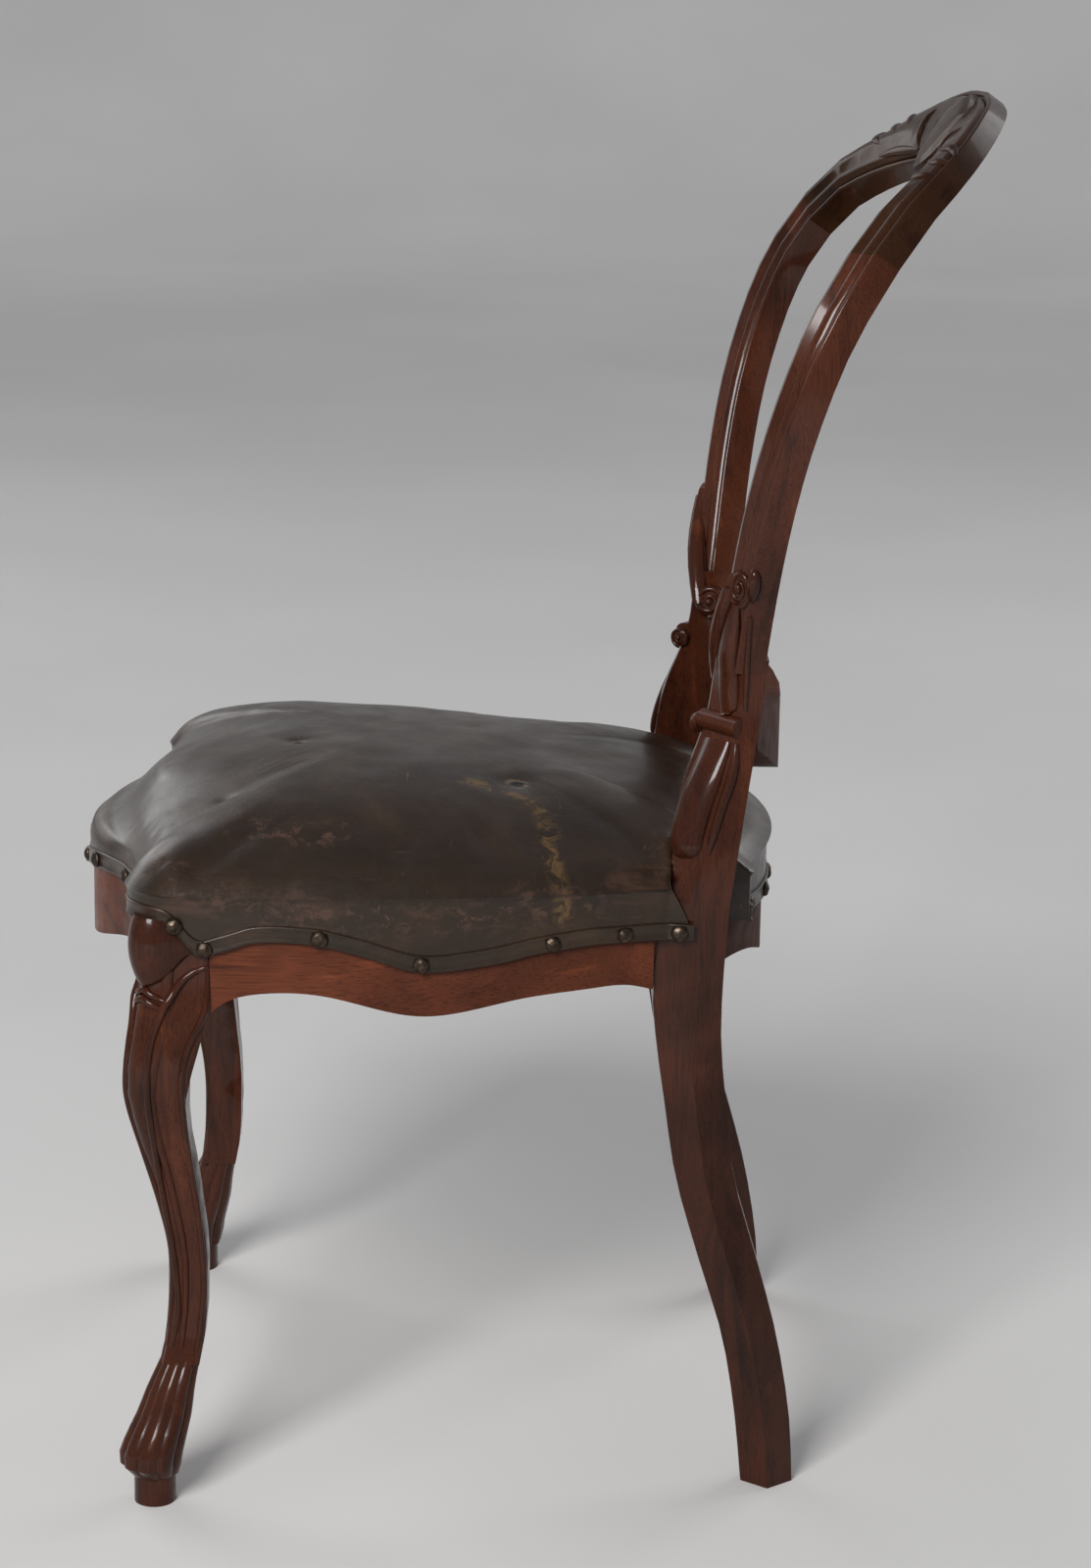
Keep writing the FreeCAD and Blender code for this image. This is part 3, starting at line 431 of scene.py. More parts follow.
def worn_leather(name, with_marks):
    """Old nearly black hide, rubbed brown at its edges, with fine grain and cracks."""
    shader = Shader(name)
    if not shader.fresh:
        return shader.material
    hide = bpy.context.scene.chair_leather
    base, worn, stain = (Vector(colour) for colour in (hide.colour, hide.worn, hide.stain))
    plain = shader.place()
    cloud = shader.noise(plain, 14.0, 6.0, 0.65, 0.5)
    bright = base * 1.9 + Vector((0.006, 0.003, 0.001))
    colour = shader.ramp(cloud, [(0.25, base * 0.55), (0.52, base), (0.80, bright)])
    rub = shader.noise(shader.place((0.55, 0.55, 1.6)), 26.0, 8.0, 0.74, 1.1)
    height = shader.add("ShaderNodeSeparateXYZ", {"Vector": plain})["Z"]
    low = shader.math("MULTIPLY", *(shader.map_range(height, *ends) for ends in RUBBED_BELT))
    band = shader.math("MULTIPLY", low, shader.map_range(rub, 0.50, 0.64), clamp=True)
    scattered = shader.map_range(rub, 0.62, 0.78, 0.0, 0.30)
    wear = shader.math("ADD", shader.math("MULTIPLY", band, 0.30), scattered, clamp=True)
    colour = shader.mix(wear, colour, worn)
    scratch = shader.noise(shader.place((5, 60, 9), (0, 0, 0.35)), 7.0, 2.0, 0.5, 0.3)
    fine = shader.map_range(scratch, 0.735, 0.765, 0.0, 0.28)
    colour = shader.mix(fine, colour, worn * 1.5 + Vector((0.02, 0.02, 0.02)))
    if with_marks:
        colour = marked(shader, colour, plain, stain, worn)
    roughness = shader.ramp(shader.noise(plain, 35.0, 5.0, 0.6), [(0.30, 0.30), (0.72, 0.52)])
    normal = shader.bump(shader.map_range(shader.cells(plain, 620.0), 0.0, 0.25), 0.14, 0.0003)
    normal = shader.bump(shader.map_range(shader.cells(plain, 150.0), 0.0, 0.08), 0.10, 0.0006, normal)
    normal = shader.bump(rub, 0.22, 0.0015, normal)
    return shader.finish(colour, roughness, normal, ("Specular IOR Level", 0.20), ("Coat Weight", 0.42),
                         ("Coat Roughness", 0.26))


def nail_brass():
    shader = Shader("tarnished_brass")
    if not shader.fresh:
        return shader.material
    spots = shader.noise(shader.place(), 320.0, 5.0, 0.7)
    base = Vector(bpy.context.scene.chair_nails.colour)
    colour = shader.ramp(spots, [(0.3, base * 0.25), (0.55, base), (0.8, base * 2.4)])
    roughness = shader.ramp(spots, [(0.3, 0.55), (0.75, 0.26)])
    return shader.finish(colour, roughness, shader.bump(spots, 0.3, 0.0004), ("Metallic", 0.9))


# The seat's plan, built on the frame

# Tufts, each with its x, y and size
TUFTS = ((0.010, -0.155, 0.007), (0.108, -0.197, 0.008), (0.083, -0.009, 0.012))
# Marks on the hide: the run of the stain, the torn spots with their sizes, whose middles are painted dark as
# the shade inside a hole, and the scuffed lines
MARKS = ("stain", "tear_with_hole_shade", "scuff")
STAIN_RUN = ((0.090, -0.045, 0.455), (0.095, -0.027, 0.453), (0.108, -0.009, 0.450), (0.117, 0.006, 0.447),
             (0.145, 0.011, 0.439), (0.169, 0.013, 0.430), (0.186, 0.016, 0.417), (0.190, 0.021, 0.395))
TEARS_WITH_HOLE_SHADE = ((0.083, -0.009, 0.453, 0.0065), (0.010, -0.155, 0.461, 0.0045), (0.108, -0.197, 0.452, 0.0042),
         (-0.047, -0.112, 0.460, 0.0035), (-0.080, -0.077, 0.458, 0.0030))
SCUFFS = (((0.190, -0.250, 0.417), (0.195, -0.228, 0.428), (0.208, -0.220, 0.418), (0.213, -0.160, 0.402),
           (0.208, -0.090, 0.399), (0.202, -0.042, 0.399), (0.194, -0.001, 0.402), (0.185, 0.050, 0.402)),
          ((0.159, -0.196, 0.445), (0.170, -0.169, 0.444), (0.173, -0.134, 0.442), (0.163, -0.119, 0.445)),
          ((0.194, -0.001, 0.400), (0.197, 0.001, 0.411)), ((0.134, 0.088, 0.430), (0.160, 0.080, 0.415)))

# Places of the plan, in metres, moved with the front legs of the frame
KNEE_X = 0.165
KNEE_OUT_X = 0.210
KNEE_ROUND = 0.006
LEG_WIDTH = 0.045
POST_DEPTH = 0.045
POST_ROUND = 0.005
POST_WRAP = 0.008
FRONT_BOW = 0.045
SIDE_BOW = 0.013
BACK_BOW = 0.035
CENTRE_SHIFT = LEG_HIGH.y + 0.205
FRONT_Y = -0.297 + CENTRE_SHIFT
LEG_BACK_Y = LEG_HIGH.y
LEG_FRONT_Y = LEG_BACK_Y - LEG_WIDTH
POST_FRONT_Y = 0.076 + CENTRE_SHIFT
POST_BACK_Y = POST_FRONT_Y + POST_DEPTH
POST_OUT_X = 0.168
POST_IN_X = 0.136
TRIM_Z = 0.382
BANDING_POINTS = 720
# Rise of the leather's lower edge in millimetres, as (share of the way, rise)
SIDE_TRIM = ((-0.149, 12.5), (-0.09, 9), (-0.03, -8), (0.02, -6), (0.1, 1), (0.22, 0), (0.34, -8),
             (0.47, -19), (0.62, -16), (0.76, -9), (0.9, -6), (1.1, -7))
FRONT_TRIM = ((0.0, -7), (0.3, 4), (0.6, 9), (1.0, 12), (1.25, 12.5))
BACK_TRIM = ((0.0, -14), (0.5, -9), (1.0, -3))


def front_y(x, pull=0.0):
    """Front of the rail's bow, or a bow that is flatter by pull."""
    return FRONT_Y + pull + (FRONT_BOW - pull) * (1 - math.cos(math.pi * x / KNEE_X)) / 2


def bow_radius(chord, bow):
    """Radius of the arc that rises by a bow over a chord."""
    return (chord ** 2 / 4 + bow ** 2) / (2 * bow)


def side_x(y):
    start = Vector((KNEE_OUT_X, LEG_BACK_Y))
    chord = Vector((POST_OUT_X, POST_FRONT_Y + POST_WRAP)) - start
    radius = bow_radius(chord.length, SIDE_BOW)
    centre = start + chord * 0.5 + Vector((chord.y, -chord.x)).normalized() * (SIDE_BOW - radius)
    return centre.x + math.sqrt(radius ** 2 - (y - centre.y) ** 2)


def back_y(x):
    radius = bow_radius(2 * POST_IN_X, BACK_BOW)
    return POST_BACK_Y + BACK_BOW - radius + math.sqrt(radius ** 2 - x ** 2)


def arc(a, b, c, count):
    """Points on the arc through three points, without the last."""
    ax, ay, bx, by, cx, cy = *a, *b, *c
    d = 2 * (ax * (by - cy) + bx * (cy - ay) + cx * (ay - by))
    aa, bb, cc = ax * ax + ay * ay, bx * bx + by * by, cx * cx + cy * cy
    ux = (aa * (by - cy) + bb * (cy - ay) + cc * (ay - by)) / d
    uy = (aa * (cx - bx) + bb * (ax - cx) + cc * (bx - ax)) / d
    radius = math.hypot(ax - ux, ay - uy)
    start, middle, end = (math.atan2(y - uy, x - ux) for x, y in (a, b, c))
    sweep = (end - start) % (2 * math.pi)
    if (middle - start) % (2 * math.pi) > sweep:
        sweep -= 2 * math.pi
    turns = [start + sweep * i / count for i in range(count)]
    return [(ux + radius * math.cos(turn), uy + radius * math.sin(turn)) for turn in turns]


def seat_plan(grow, step=0.003, pull=0.0):
    """Closed outline of the seat, grown outwards, from the middle of the front and anticlockwise."""
    bend = KNEE_X / 2
    corner = 0.7 * grow
    side_start = LEG_BACK_Y - 0.018
    wrap_y = POST_FRONT_Y + POST_WRAP
    side_middle = (side_start + wrap_y) / 2
    back_end = 0.8 * POST_IN_X
    right = [(bend, front_y(bend, pull) - grow), (1.5 * bend, front_y(1.5 * bend, pull) - grow),
             (KNEE_X, front_y(KNEE_X, pull) - grow),
             (KNEE_OUT_X - KNEE_ROUND + corner, LEG_FRONT_Y + KNEE_ROUND - corner),
             (side_x(side_start) + grow, side_start), (side_x(side_middle) + grow, side_middle),
             (POST_OUT_X + grow, wrap_y),
             (POST_OUT_X - POST_ROUND + corner, POST_BACK_Y - POST_ROUND + corner),
             (back_end, back_y(back_end) + grow)]
    left = [(-x, y) for x, y in reversed(right)]
    points = [(0.0, FRONT_Y + pull - grow)] + right + [(0.0, back_y(0.0) + grow)] + left
    count = len(points)
    outline = []
    for i in range(0, count, 2):
        a, b, c = points[i - 1], points[i], points[(i + 1) % count]
        length = math.dist(a, b) + math.dist(b, c)
        outline += arc(a, b, c, max(4, round(length / step)))
    start = min(range(len(outline)), key=lambda k: abs(outline[k][0]) + (10 if outline[k][1] > 0 else 0))
    return outline[start:] + outline[:start]


def resample(points, count):
    """A closed line of (x, y) as count points an equal distance apart."""
    loop = points + [points[0]]
    lengths = [0.0]
    for a, b in zip(loop, loop[1:]):
        lengths.append(lengths[-1] + math.dist(a, b))
    total = lengths[-1]
    result = []
    k = 0
    for i in range(count):
        want = total * i / count
        while lengths[k + 1] < want:
            k += 1
        t = (want - lengths[k]) / max(lengths[k + 1] - lengths[k], 1e-9)
        (ax, ay), (bx, by) = loop[k], loop[k + 1]
        result.append((ax + t * (bx - ax), ay + t * (by - ay)))
    return result


def trim_height(x, y):
    """Height of the leather's lower edge at a point of the outline."""
    share = (y - LEG_BACK_Y) / (POST_FRONT_Y - LEG_BACK_Y)
    rows, place = SIDE_TRIM, share
    if share < SIDE_TRIM[0][0]:
        rows, place = FRONT_TRIM, abs(x) / KNEE_X
    elif share > SIDE_TRIM[-1][0]:
        rows, place = BACK_TRIM, abs(x) / POST_OUT_X
    return TRIM_Z + 0.001 * blend_rows(rows, place)


def banding_runs(grow):
    """The outline as the long run round front and sides, and the short run at the back."""
    outline = resample(seat_plan(grow), BANDING_POINTS)
    end_y = POST_FRONT_Y + 0.0265
    inner = POST_IN_X - 0.0048
    back = [p for p in outline if p[1] > POST_FRONT_Y + 0.02 and abs(p[0]) < inner]
    front = [p for p in outline if p[1] < end_y and not (p[1] > POST_FRONT_Y and abs(p[0]) < POST_IN_X)]
    back.sort(key=lambda p: -p[0])
    start = max(range(len(front)), key=lambda k: math.dist(front[k], front[k - 1]))
    return front[start:] + front[:start], back


# The leather seat

CENTRE_Y = (POST_BACK_Y + BACK_BOW + FRONT_Y) / 2
NOTCH_X = POST_IN_X - 0.0006
NOTCH_Y = POST_FRONT_Y + 0.0052
POST_LEAN = 0.142
BASE_Z = HESSIAN_HIGH.z + 0.0003
CROWN_Z = COVER_HIGH.z + 0.006
SHOULDER_Z = CROWN_Z - 0.050
FALL = 0.015
DEPTH = POST_BACK_Y + BACK_BOW - FRONT_Y
HIDE = 0.0022
CROWN_RINGS = 34
SIDE_RINGS = 12
EVEN_TURNS = 360
DENSE_TURNS = 14400
# Rows of the hide from its crown to its shoulder, as (share of the plan, share of the rise,
# share of the fall, flatter front)
CROWN = ((0.0, 1.0, 1.0, 0.0), (0.2, 0.995, 1.0, 0.0), (0.46, 0.93, 1.0, 0.0), (0.65, 0.8, 0.95, 0.0),
         (0.79, 0.62, 0.9, 0.004), (0.9, 0.4, 0.8, 0.019), (0.955, 0.22, 0.65, 0.024),
         (0.985, 0.06, 0.5, 0.023), (1.0, -0.08, 0.3, 0.019))
# Rows of the hide's side, as (height above the hessian, swell, flatter front)
SIDE = ((-0.05, 0.0, 0.0), (-0.014, 0.0, 0.0), (-0.003, 0.0002, 0.0008), (0.004, 0.0016, 0.009),
        (0.008, 0.003, 0.019), (0.03, 0.003, 0.019))
PULL = 0.02
HIDE_CLOTH = {"quality": 6, "mass": 0.5, "tension_stiffness": 18, "compression_stiffness": 12,
              "shear_stiffness": 8, "bending_stiffness": 1.2, "use_pressure": True,
              "vertex_group_mass": "held"}
CLOTH_FRAMES = 20


class SeatForm:
    """Polar description of the seat's plan round its middle, notched round the back posts."""

    def __init__(self):
        self.tables = {}
        dense = np.linspace(-math.pi, math.pi, DENSE_TURNS + 1)[:-1]
        reach = self.reach(dense, HIDE)
        notch = self.notch(dense)
        cut = notch < reach
        steps = dense[np.nonzero(cut != np.roll(cut, 1))[0]]
        radius = np.minimum(reach, notch)
        x, y = radius * np.cos(dense), radius * np.sin(dense)
        length = np.concatenate([[0], np.cumsum(np.hypot(np.diff(x), np.diff(y)))])
        even = np.interp(np.linspace(0, length[-1], EVEN_TURNS + 1)[:-1], length, dense)
        corner = math.atan2(NOTCH_Y - CENTRE_Y, NOTCH_X)
        extra = [corner, math.pi - corner]
        for step in steps:
            extra += [step - 2e-4, step + 2e-4]
        keep = [t for t in even if min(abs(t - e) for e in extra) > 0.004]
        self.turns = np.array(sorted(keep + extra))

    def reach(self, turns, grow, pull=0.0):
        key = (grow, pull)
        if key not in self.tables:
            plan = seat_plan(grow, 0.001, pull)
            self.tables[key] = np.array(sorted((math.atan2(y - CENTRE_Y, x), math.hypot(x, y - CENTRE_Y))
                                               for x, y in plan))
        table = self.tables[key]
        return np.interp(turns, table[:, 0], table[:, 1], period=2 * math.pi)

    def notch(self, turns):
        across = np.maximum(np.abs(np.cos(turns)), 1e-6)
        back = np.maximum(np.sin(turns), 1e-6)
        return np.maximum(NOTCH_X / across, (NOTCH_Y - CENTRE_Y) / back)


def leather_grid(form, inner_edge):
    """Rings of points from the crown to the lower edge and, if asked, back up inside the skirt."""
    turns = form.turns
    notch = form.notch(turns)
    bare = form.reach(turns, HIDE)
    leaning = (form.reach(turns, HIDE, PULL) - bare) / PULL
    rings = []
    for share in (1 - (1 - k / CROWN_RINGS) ** 1.35 for k in range(1, CROWN_RINGS + 1)):
        swell = 0.003 * smoothstep(0.985, 1.0, share)
        radius = np.minimum(share * (bare + swell + leaning * blend_rows(CROWN, share, 3)), notch)
        x, y = radius * np.cos(turns), CENTRE_Y + radius * np.sin(turns)
        rise = blend_rows(CROWN, share, 1)
        fall = blend_rows(CROWN, share, 2)
        z = SHOULDER_Z + rise * (CROWN_Z - SHOULDER_Z) - fall * FALL * (y - FRONT_Y) / DEPTH
        rings.append((x, y, z))
    edge_z = rings[-1][2]
    behind_post = CENTRE_Y + notch * np.sin(turns) > POST_BACK_Y + 0.001
    open_side = (notch > bare) | behind_post
    x, y = bare * np.cos(turns), CENTRE_Y + bare * np.sin(turns)
    trim = np.array([trim_height(a, b) for a, b in zip(x, y)]) + 0.0015
    low = np.where(open_side, trim, BASE_Z - 0.0005)
    if not inner_edge:
        low = np.full_like(low, BASE_Z)
    for k in range(1, SIDE_RINGS + 1):
        z = edge_z + (low - edge_z) * k / SIDE_RINGS
        swell = np.array([blend_rows(SIDE, h - BASE_Z) for h in z])
        pull = np.array([blend_rows(SIDE, h - BASE_Z, 2) for h in z])
        radius = np.minimum(bare + swell + leaning * pull, notch)
        rings.append((radius * np.cos(turns), CENTRE_Y + radius * np.sin(turns), z))
    inside = np.minimum(form.reach(turns, 0.0003), notch - 0.0009)
    heights = [low, np.full_like(low, BASE_Z)] if inner_edge else [low]
    for z in heights:
        rings.append((inside * np.cos(turns), CENTRE_Y + inside * np.sin(turns), z))
    for share in (0.7, 0.4, 0.15):
        rings.append((share * inside * np.cos(turns), CENTRE_Y + share * inside * np.sin(turns), heights[-1]))
    return [lean_with_post(*ring) for ring in rings]


def lean_with_post(x, y, z):
    """Moves the leather beside a back post with the slant of the post."""
    z = z + np.zeros_like(x)
    beside = np.clip((np.abs(x) - 0.085) / 0.040, 0, 1)
    reached = np.clip((y - NOTCH_Y + 0.055) / 0.055, 0, 1) * np.clip((POST_BACK_Y + 0.012 - y) / 0.028, 0, 1)
    height = z - TRIM_Z - 0.003
    y = y + POST_LEAN * height * (beside * reached) ** 1.5
    inner = np.clip((y - NOTCH_Y) / 0.012, 0, 1) * (np.abs(x) > NOTCH_X - 0.006)
    x = x - np.sign(x) * inner * np.clip(height - 0.018, 0, 1) * 0.088
    return x, y, z


def ring_mesh(name, rings, first, last):
    """Closed mesh through rings of points between two poles."""
    count = len(rings[0][0])
    points = [first]
    for x, y, z in rings:
        points += list(zip(x.tolist(), y.tolist(), z.tolist()))
    points.append(last)
    end = len(points) - 1
    faces = []
    for i in range(count):
        j = (i + 1) % count
        faces.append((0, 1 + i, 1 + j))
        for k in range(len(rings) - 1):
            a = 1 + k * count
            b = a + count
            faces.append((a + i, b + i, b + j, a + j))
        a = 1 + (len(rings) - 1) * count
        faces.append((a + i, end, a + j))
    mesh = mesh_from(name, points, faces)
    outwards(mesh)
    return mesh


def pad_mesh(name, form, inner_edge):
    rings = leather_grid(form, inner_edge)
    top = (0.0, CENTRE_Y, CROWN_Z - FALL * (CENTRE_Y - FRONT_Y) / DEPTH)
    return ring_mesh(name, rings, top, (0.0, CENTRE_Y, float(rings[-1][2][0])))


def evaluated(piece):
    """New mesh of a piece as its modifiers leave it."""
    graph = bpy.context.evaluated_depsgraph_get()
    return bpy.data.meshes.new_from_object(piece.evaluated_get(graph))


def simulated_swell(form):
    """Points of a remeshed seat before and after its stuffing has pushed at the hide."""
    hide = bpy.context.scene.chair_leather
    trial = new_object("seat_trial", pad_mesh("seat_trial", form, False))
    remesh = trial.modifiers.new("even cells", "REMESH")
    remesh.mode = "VOXEL"
    remesh.voxel_size = hide.cell
    even = evaluated(trial)
    trial.modifiers.clear()
    trial.data = even
    before = [v.co.copy() for v in even.vertices]
    held = trial.vertex_groups.new(name="held")
    held.add([v.index for v in even.vertices if v.co.z < BASE_Z + 0.007], 1.0, "REPLACE")
    cloth = trial.modifiers.new("hide", "CLOTH")
    for key, value in HIDE_CLOTH.items():
        setattr(cloth.settings, key, value)
    cloth.settings.uniform_pressure_force = hide.pressure
    cloth.settings.effector_weights.gravity = 0
    cloth.collision_settings.use_self_collision = False
    cloth.collision_settings.use_collision = False
    cloth.point_cache.frame_start = 1
    cloth.point_cache.frame_end = CLOTH_FRAMES
    scene = bpy.context.scene
    for frame_number in range(1, CLOTH_FRAMES + 1):
        scene.frame_set(frame_number)
    swollen = evaluated(trial)
    after = [v.co.copy() for v in swollen.vertices]
    scene.frame_set(1)
    bpy.data.objects.remove(trial)
    bpy.data.meshes.remove(swollen)
    bpy.data.meshes.remove(even)
    return before, after


def follow(mesh, before, after, limit):
    """Moves the seat's points as the simulated hide moved, up to a limit and not at the rails."""
    tree = KDTree(len(before))
    for i, point in enumerate(before):
        tree.insert(point, i)
    tree.balance()
    for vertex in mesh.vertices:
        p = vertex.co
        ease = smoothstep(BASE_Z + 0.006, BASE_Z + 0.024, p.z)
        if ease == 0:
            continue
        move = Vector()
        total = 0.0
        for co, i, away in tree.find_n(p, 4):
            weight = 1 / (away + 1e-4)
            move += (after[i] - before[i]) * weight
            total += weight
        move /= total
        if move.length > limit:
            move *= limit / move.length
        vertex.co = p + move * ease


def refine(mesh):
    """Splits every face in four, so that the small unevenness of the hide has points to move."""
    with edited(mesh) as bm:
        bmesh.ops.subdivide_edges(bm, edges=bm.edges, cuts=1, use_grid_fill=True)


def near_post(x, y):
    """1 away from the back posts, falling to 0 beside them."""
    away = math.hypot(max(NOTCH_X - abs(x), 0.0), max(NOTCH_Y - y, 0.0))
    return smoothstep(0.001, 0.014, away)


def age_seat(mesh):
    """Lumps of old stuffing, a sat-in hollow, tufts that have pulled in, and fine creases up the side."""
    for vertex in mesh.vertices:
        p = vertex.co
        if p.z < BASE_Z + 0.004:
            continue
        ease = smoothstep(BASE_Z + 0.004, BASE_Z + 0.022, p.z) * near_post(p.x, p.y)
        lumps = 0.0011 * noise.noise(Vector((p.x * 17, p.y * 17, 1.7))) + 0.0004 * noise.noise(p * 46)
        hollow = -0.0022 * math.exp(-((p.x / 0.11) ** 2 + ((p.y + 0.02) / 0.12) ** 2))
        tuft = 0.0
        for x, y, size in TUFTS:
            away = math.hypot(p.x - x, p.y - y)
            tuft -= 0.0022 * math.exp(-(away / size) ** 2) + 0.0010 * math.exp(-(away / (2.6 * size)) ** 2)
        pull = 0.0
        if p.z < SHOULDER_Z + 0.012:
            around = math.atan2(p.y - CENTRE_Y, p.x) * 46
            pull = 0.0007 * noise.noise(Vector((around, p.z * 18, 3.1)))
        out = Vector((p.x, p.y - CENTRE_Y, 0)).normalized()
        rise = smoothstep(SHOULDER_Z - 0.012, SHOULDER_Z + 0.016, p.z)
        upwards = Vector((0, 0, 1)) * rise * (lumps + hollow + tuft)
        vertex.co = p + (upwards + out * (1 - rise) * (lumps + pull)) * ease


def flap_mesh():
    """Tongues of the leather that lie on the outside of the back posts, and narrow upwards."""
    rows = 9
    columns = 7
    sheet = []
    for outer in (False, True):
        for r in range(rows):
            t = r / (rows - 1)
            end = POST_FRONT_Y + 0.0245 - 0.021 * t ** 1.3
            start = NOTCH_Y - 0.002 + POST_LEAN * 0.03 * t
            for c in range(columns):
                away = c / (columns - 1)
                y = start + (max(end, start + 0.002) - start) * c / (columns - 1)
                low = trim_height(POST_OUT_X, y) + 0.0015
                z = low + (SHOULDER_Z + 0.001 - low) * t
                swell = blend_rows(SIDE, z - BASE_Z) * (1 - away) ** 1.5
                wood = POST_OUT_X - 0.0012 - 0.04 * (z - TRIM_Z)
                x = max(side_x(y), POST_OUT_X) + HIDE + swell - 0.0003 * away if outer else wood
                sheet.append(Vector((x, y, z)))
    size = rows * columns
    corners = [r * columns + c for r in range(rows - 1) for c in range(columns - 1)]
    quads = []
    for a in corners:
        quads.append((a, a + 1, a + columns + 1, a + columns))
        quads.append((size + a, size + a + columns, size + a + columns + 1, size + a + 1))
    rim = (list(range(columns)) + [r * columns + columns - 1 for r in range(1, rows)]
           + [(rows - 1) * columns + c for c in range(columns - 2, -1, -1)]
           + [r * columns for r in range(rows - 2, 0, -1)])
    quads += [(a, size + a, size + b, b) for a, b in zip(rim, rim[1:] + rim[:1])]
    points = [(mirror * p.x, p.y, p.z) for mirror in (1, -1) for p in sheet]
    faces = [tuple(base + v for v in quad) for base in (0, len(sheet)) for quad in quads]
    return mesh_from("flaps", points, faces)


def mark_hide(mesh):
    """Stores on every point how close it lies to the stain, to a tear, whose middle gets painted shade, and
    to a scuffed line.
    """
    def away(p, line):
        best = 1.0
        for a, b in zip(line, line[1:]):
            a, b = Vector(a), Vector(b)
            t = min(max((p - a).dot(b - a) / (b - a).length_squared, 0.0), 1.0)
            best = min(best, (p - a.lerp(b, t)).length)
        return best

    layers = {name: mesh.attributes.new(name, "FLOAT", "POINT").data for name in MARKS}
    for i, vertex in enumerate(mesh.vertices):
        p = vertex.co
        if p.z < BASE_Z - 0.03 or p.z > CROWN_Z + 0.02:
            continue
        width = 0.0065 + 0.003 * noise.noise(p * 60)
        layers["stain"][i].value = math.exp(-(away(p, STAIN_RUN) / width) ** 2)
        torn = [(p - Vector(spot[:3])).length / spot[3] for spot in TEARS_WITH_HOLE_SHADE]
        layers["tear_with_hole_shade"][i].value = max(math.exp(-t ** 2) for t in torn)
        layers["scuff"][i].value = max(math.exp(-(away(p, line) / 0.010) ** 2) for line in SCUFFS)


def joined_object(name, meshes):
    """One object out of several closed meshes, which are then removed."""
    bm = bmesh.new()
    for mesh in meshes:
        bm.from_mesh(mesh)
        bpy.data.meshes.remove(mesh)
    whole = bpy.data.meshes.new(name)
    bmesh.ops.recalc_face_normals(bm, faces=bm.faces)
    bm.to_mesh(whole)
    bm.free()
    return new_object(name, whole)


def band_mesh(runs, height):
    """The banding: a folded strip with a raised edge above and below, a little wavy with age."""
    points = []
    faces = []
    for run in runs:
        base = len(points)
        sides = 11
        last = len(run) - 1
        for k, (x, y) in enumerate(run):
            ax, ay = run[max(k - 1, 0)]
            bx, by = run[min(k + 1, last)]
            along = Vector((bx - ax, by - ay, 0)).normalized()
            out = Vector((along.y, -along.x, 0))
            if out.x * x + out.y * (y - CENTRE_Y) < 0:
                out = -out
            low = trim_height(x, y)
            wave = noise.noise(Vector((x * 60, y * 60, 0.4)))
            puff = 0.25 * noise.noise(Vector((x * 120, y * 120, 5.0)))
            h = height * (1 + 0.03 * noise.noise(Vector((x * 45, y * 45, 9.0))))
            section = ((0.0, 0.0), (0.0, 0.5 * h), (0.0, h), (0.0010, h + 0.0002), (0.0018, h - 0.0005),
                       (0.0016, h - 0.0014), (0.0011, h - 0.0021), (0.0013 + 0.0004 * puff, 0.5 * h),
                       (0.0011, 0.0021), (0.0018, 0.0010), (0.0012, 0.0001))
            for n, up in section:
                points.append((x + out.x * n, y + out.y * n, low + up + 0.0003 * wave))
        faces += tube_faces(base, len(run), sides)
        faces.append(tuple(base + i for i in range(sides)))
        faces.append(tuple(base + last * sides + i for i in range(sides - 1, -1, -1)))
    mesh = mesh_from("banding", points, faces)
    outwards(mesh)
    return mesh


# Dome nails

def islands(node):
    """Foot and outward direction of every loose solid of a CAD node."""
    mesh = welded_copy(node, "loose")
    bm = bmesh.new()
    bm.from_mesh(mesh)
    bpy.data.meshes.remove(mesh)
    found = []
    seen = set()
    for vertex in bm.verts:
        if vertex in seen:
            continue
        group = []
        stack = [vertex]
        seen.add(vertex)
        while stack:
            v = stack.pop()
            group.append(v.co.copy())
            for edge in v.link_edges:
                other = edge.other_vert(v)
                if other not in seen:
                    seen.add(other)
                    stack.append(other)
        found.append(group)
    bm.free()
    result = []
    for group in found:
        middle = sum(group, Vector()) / len(group)
        # The rim is the flat ring of points furthest from the middle of the nail.
        rim = sorted(group, key=lambda p: -(p - middle).length)[:12]
        seat = sum(rim, Vector()) / len(rim)
        out = (middle - seat).normalized()
        result.append((seat, out))
    return result


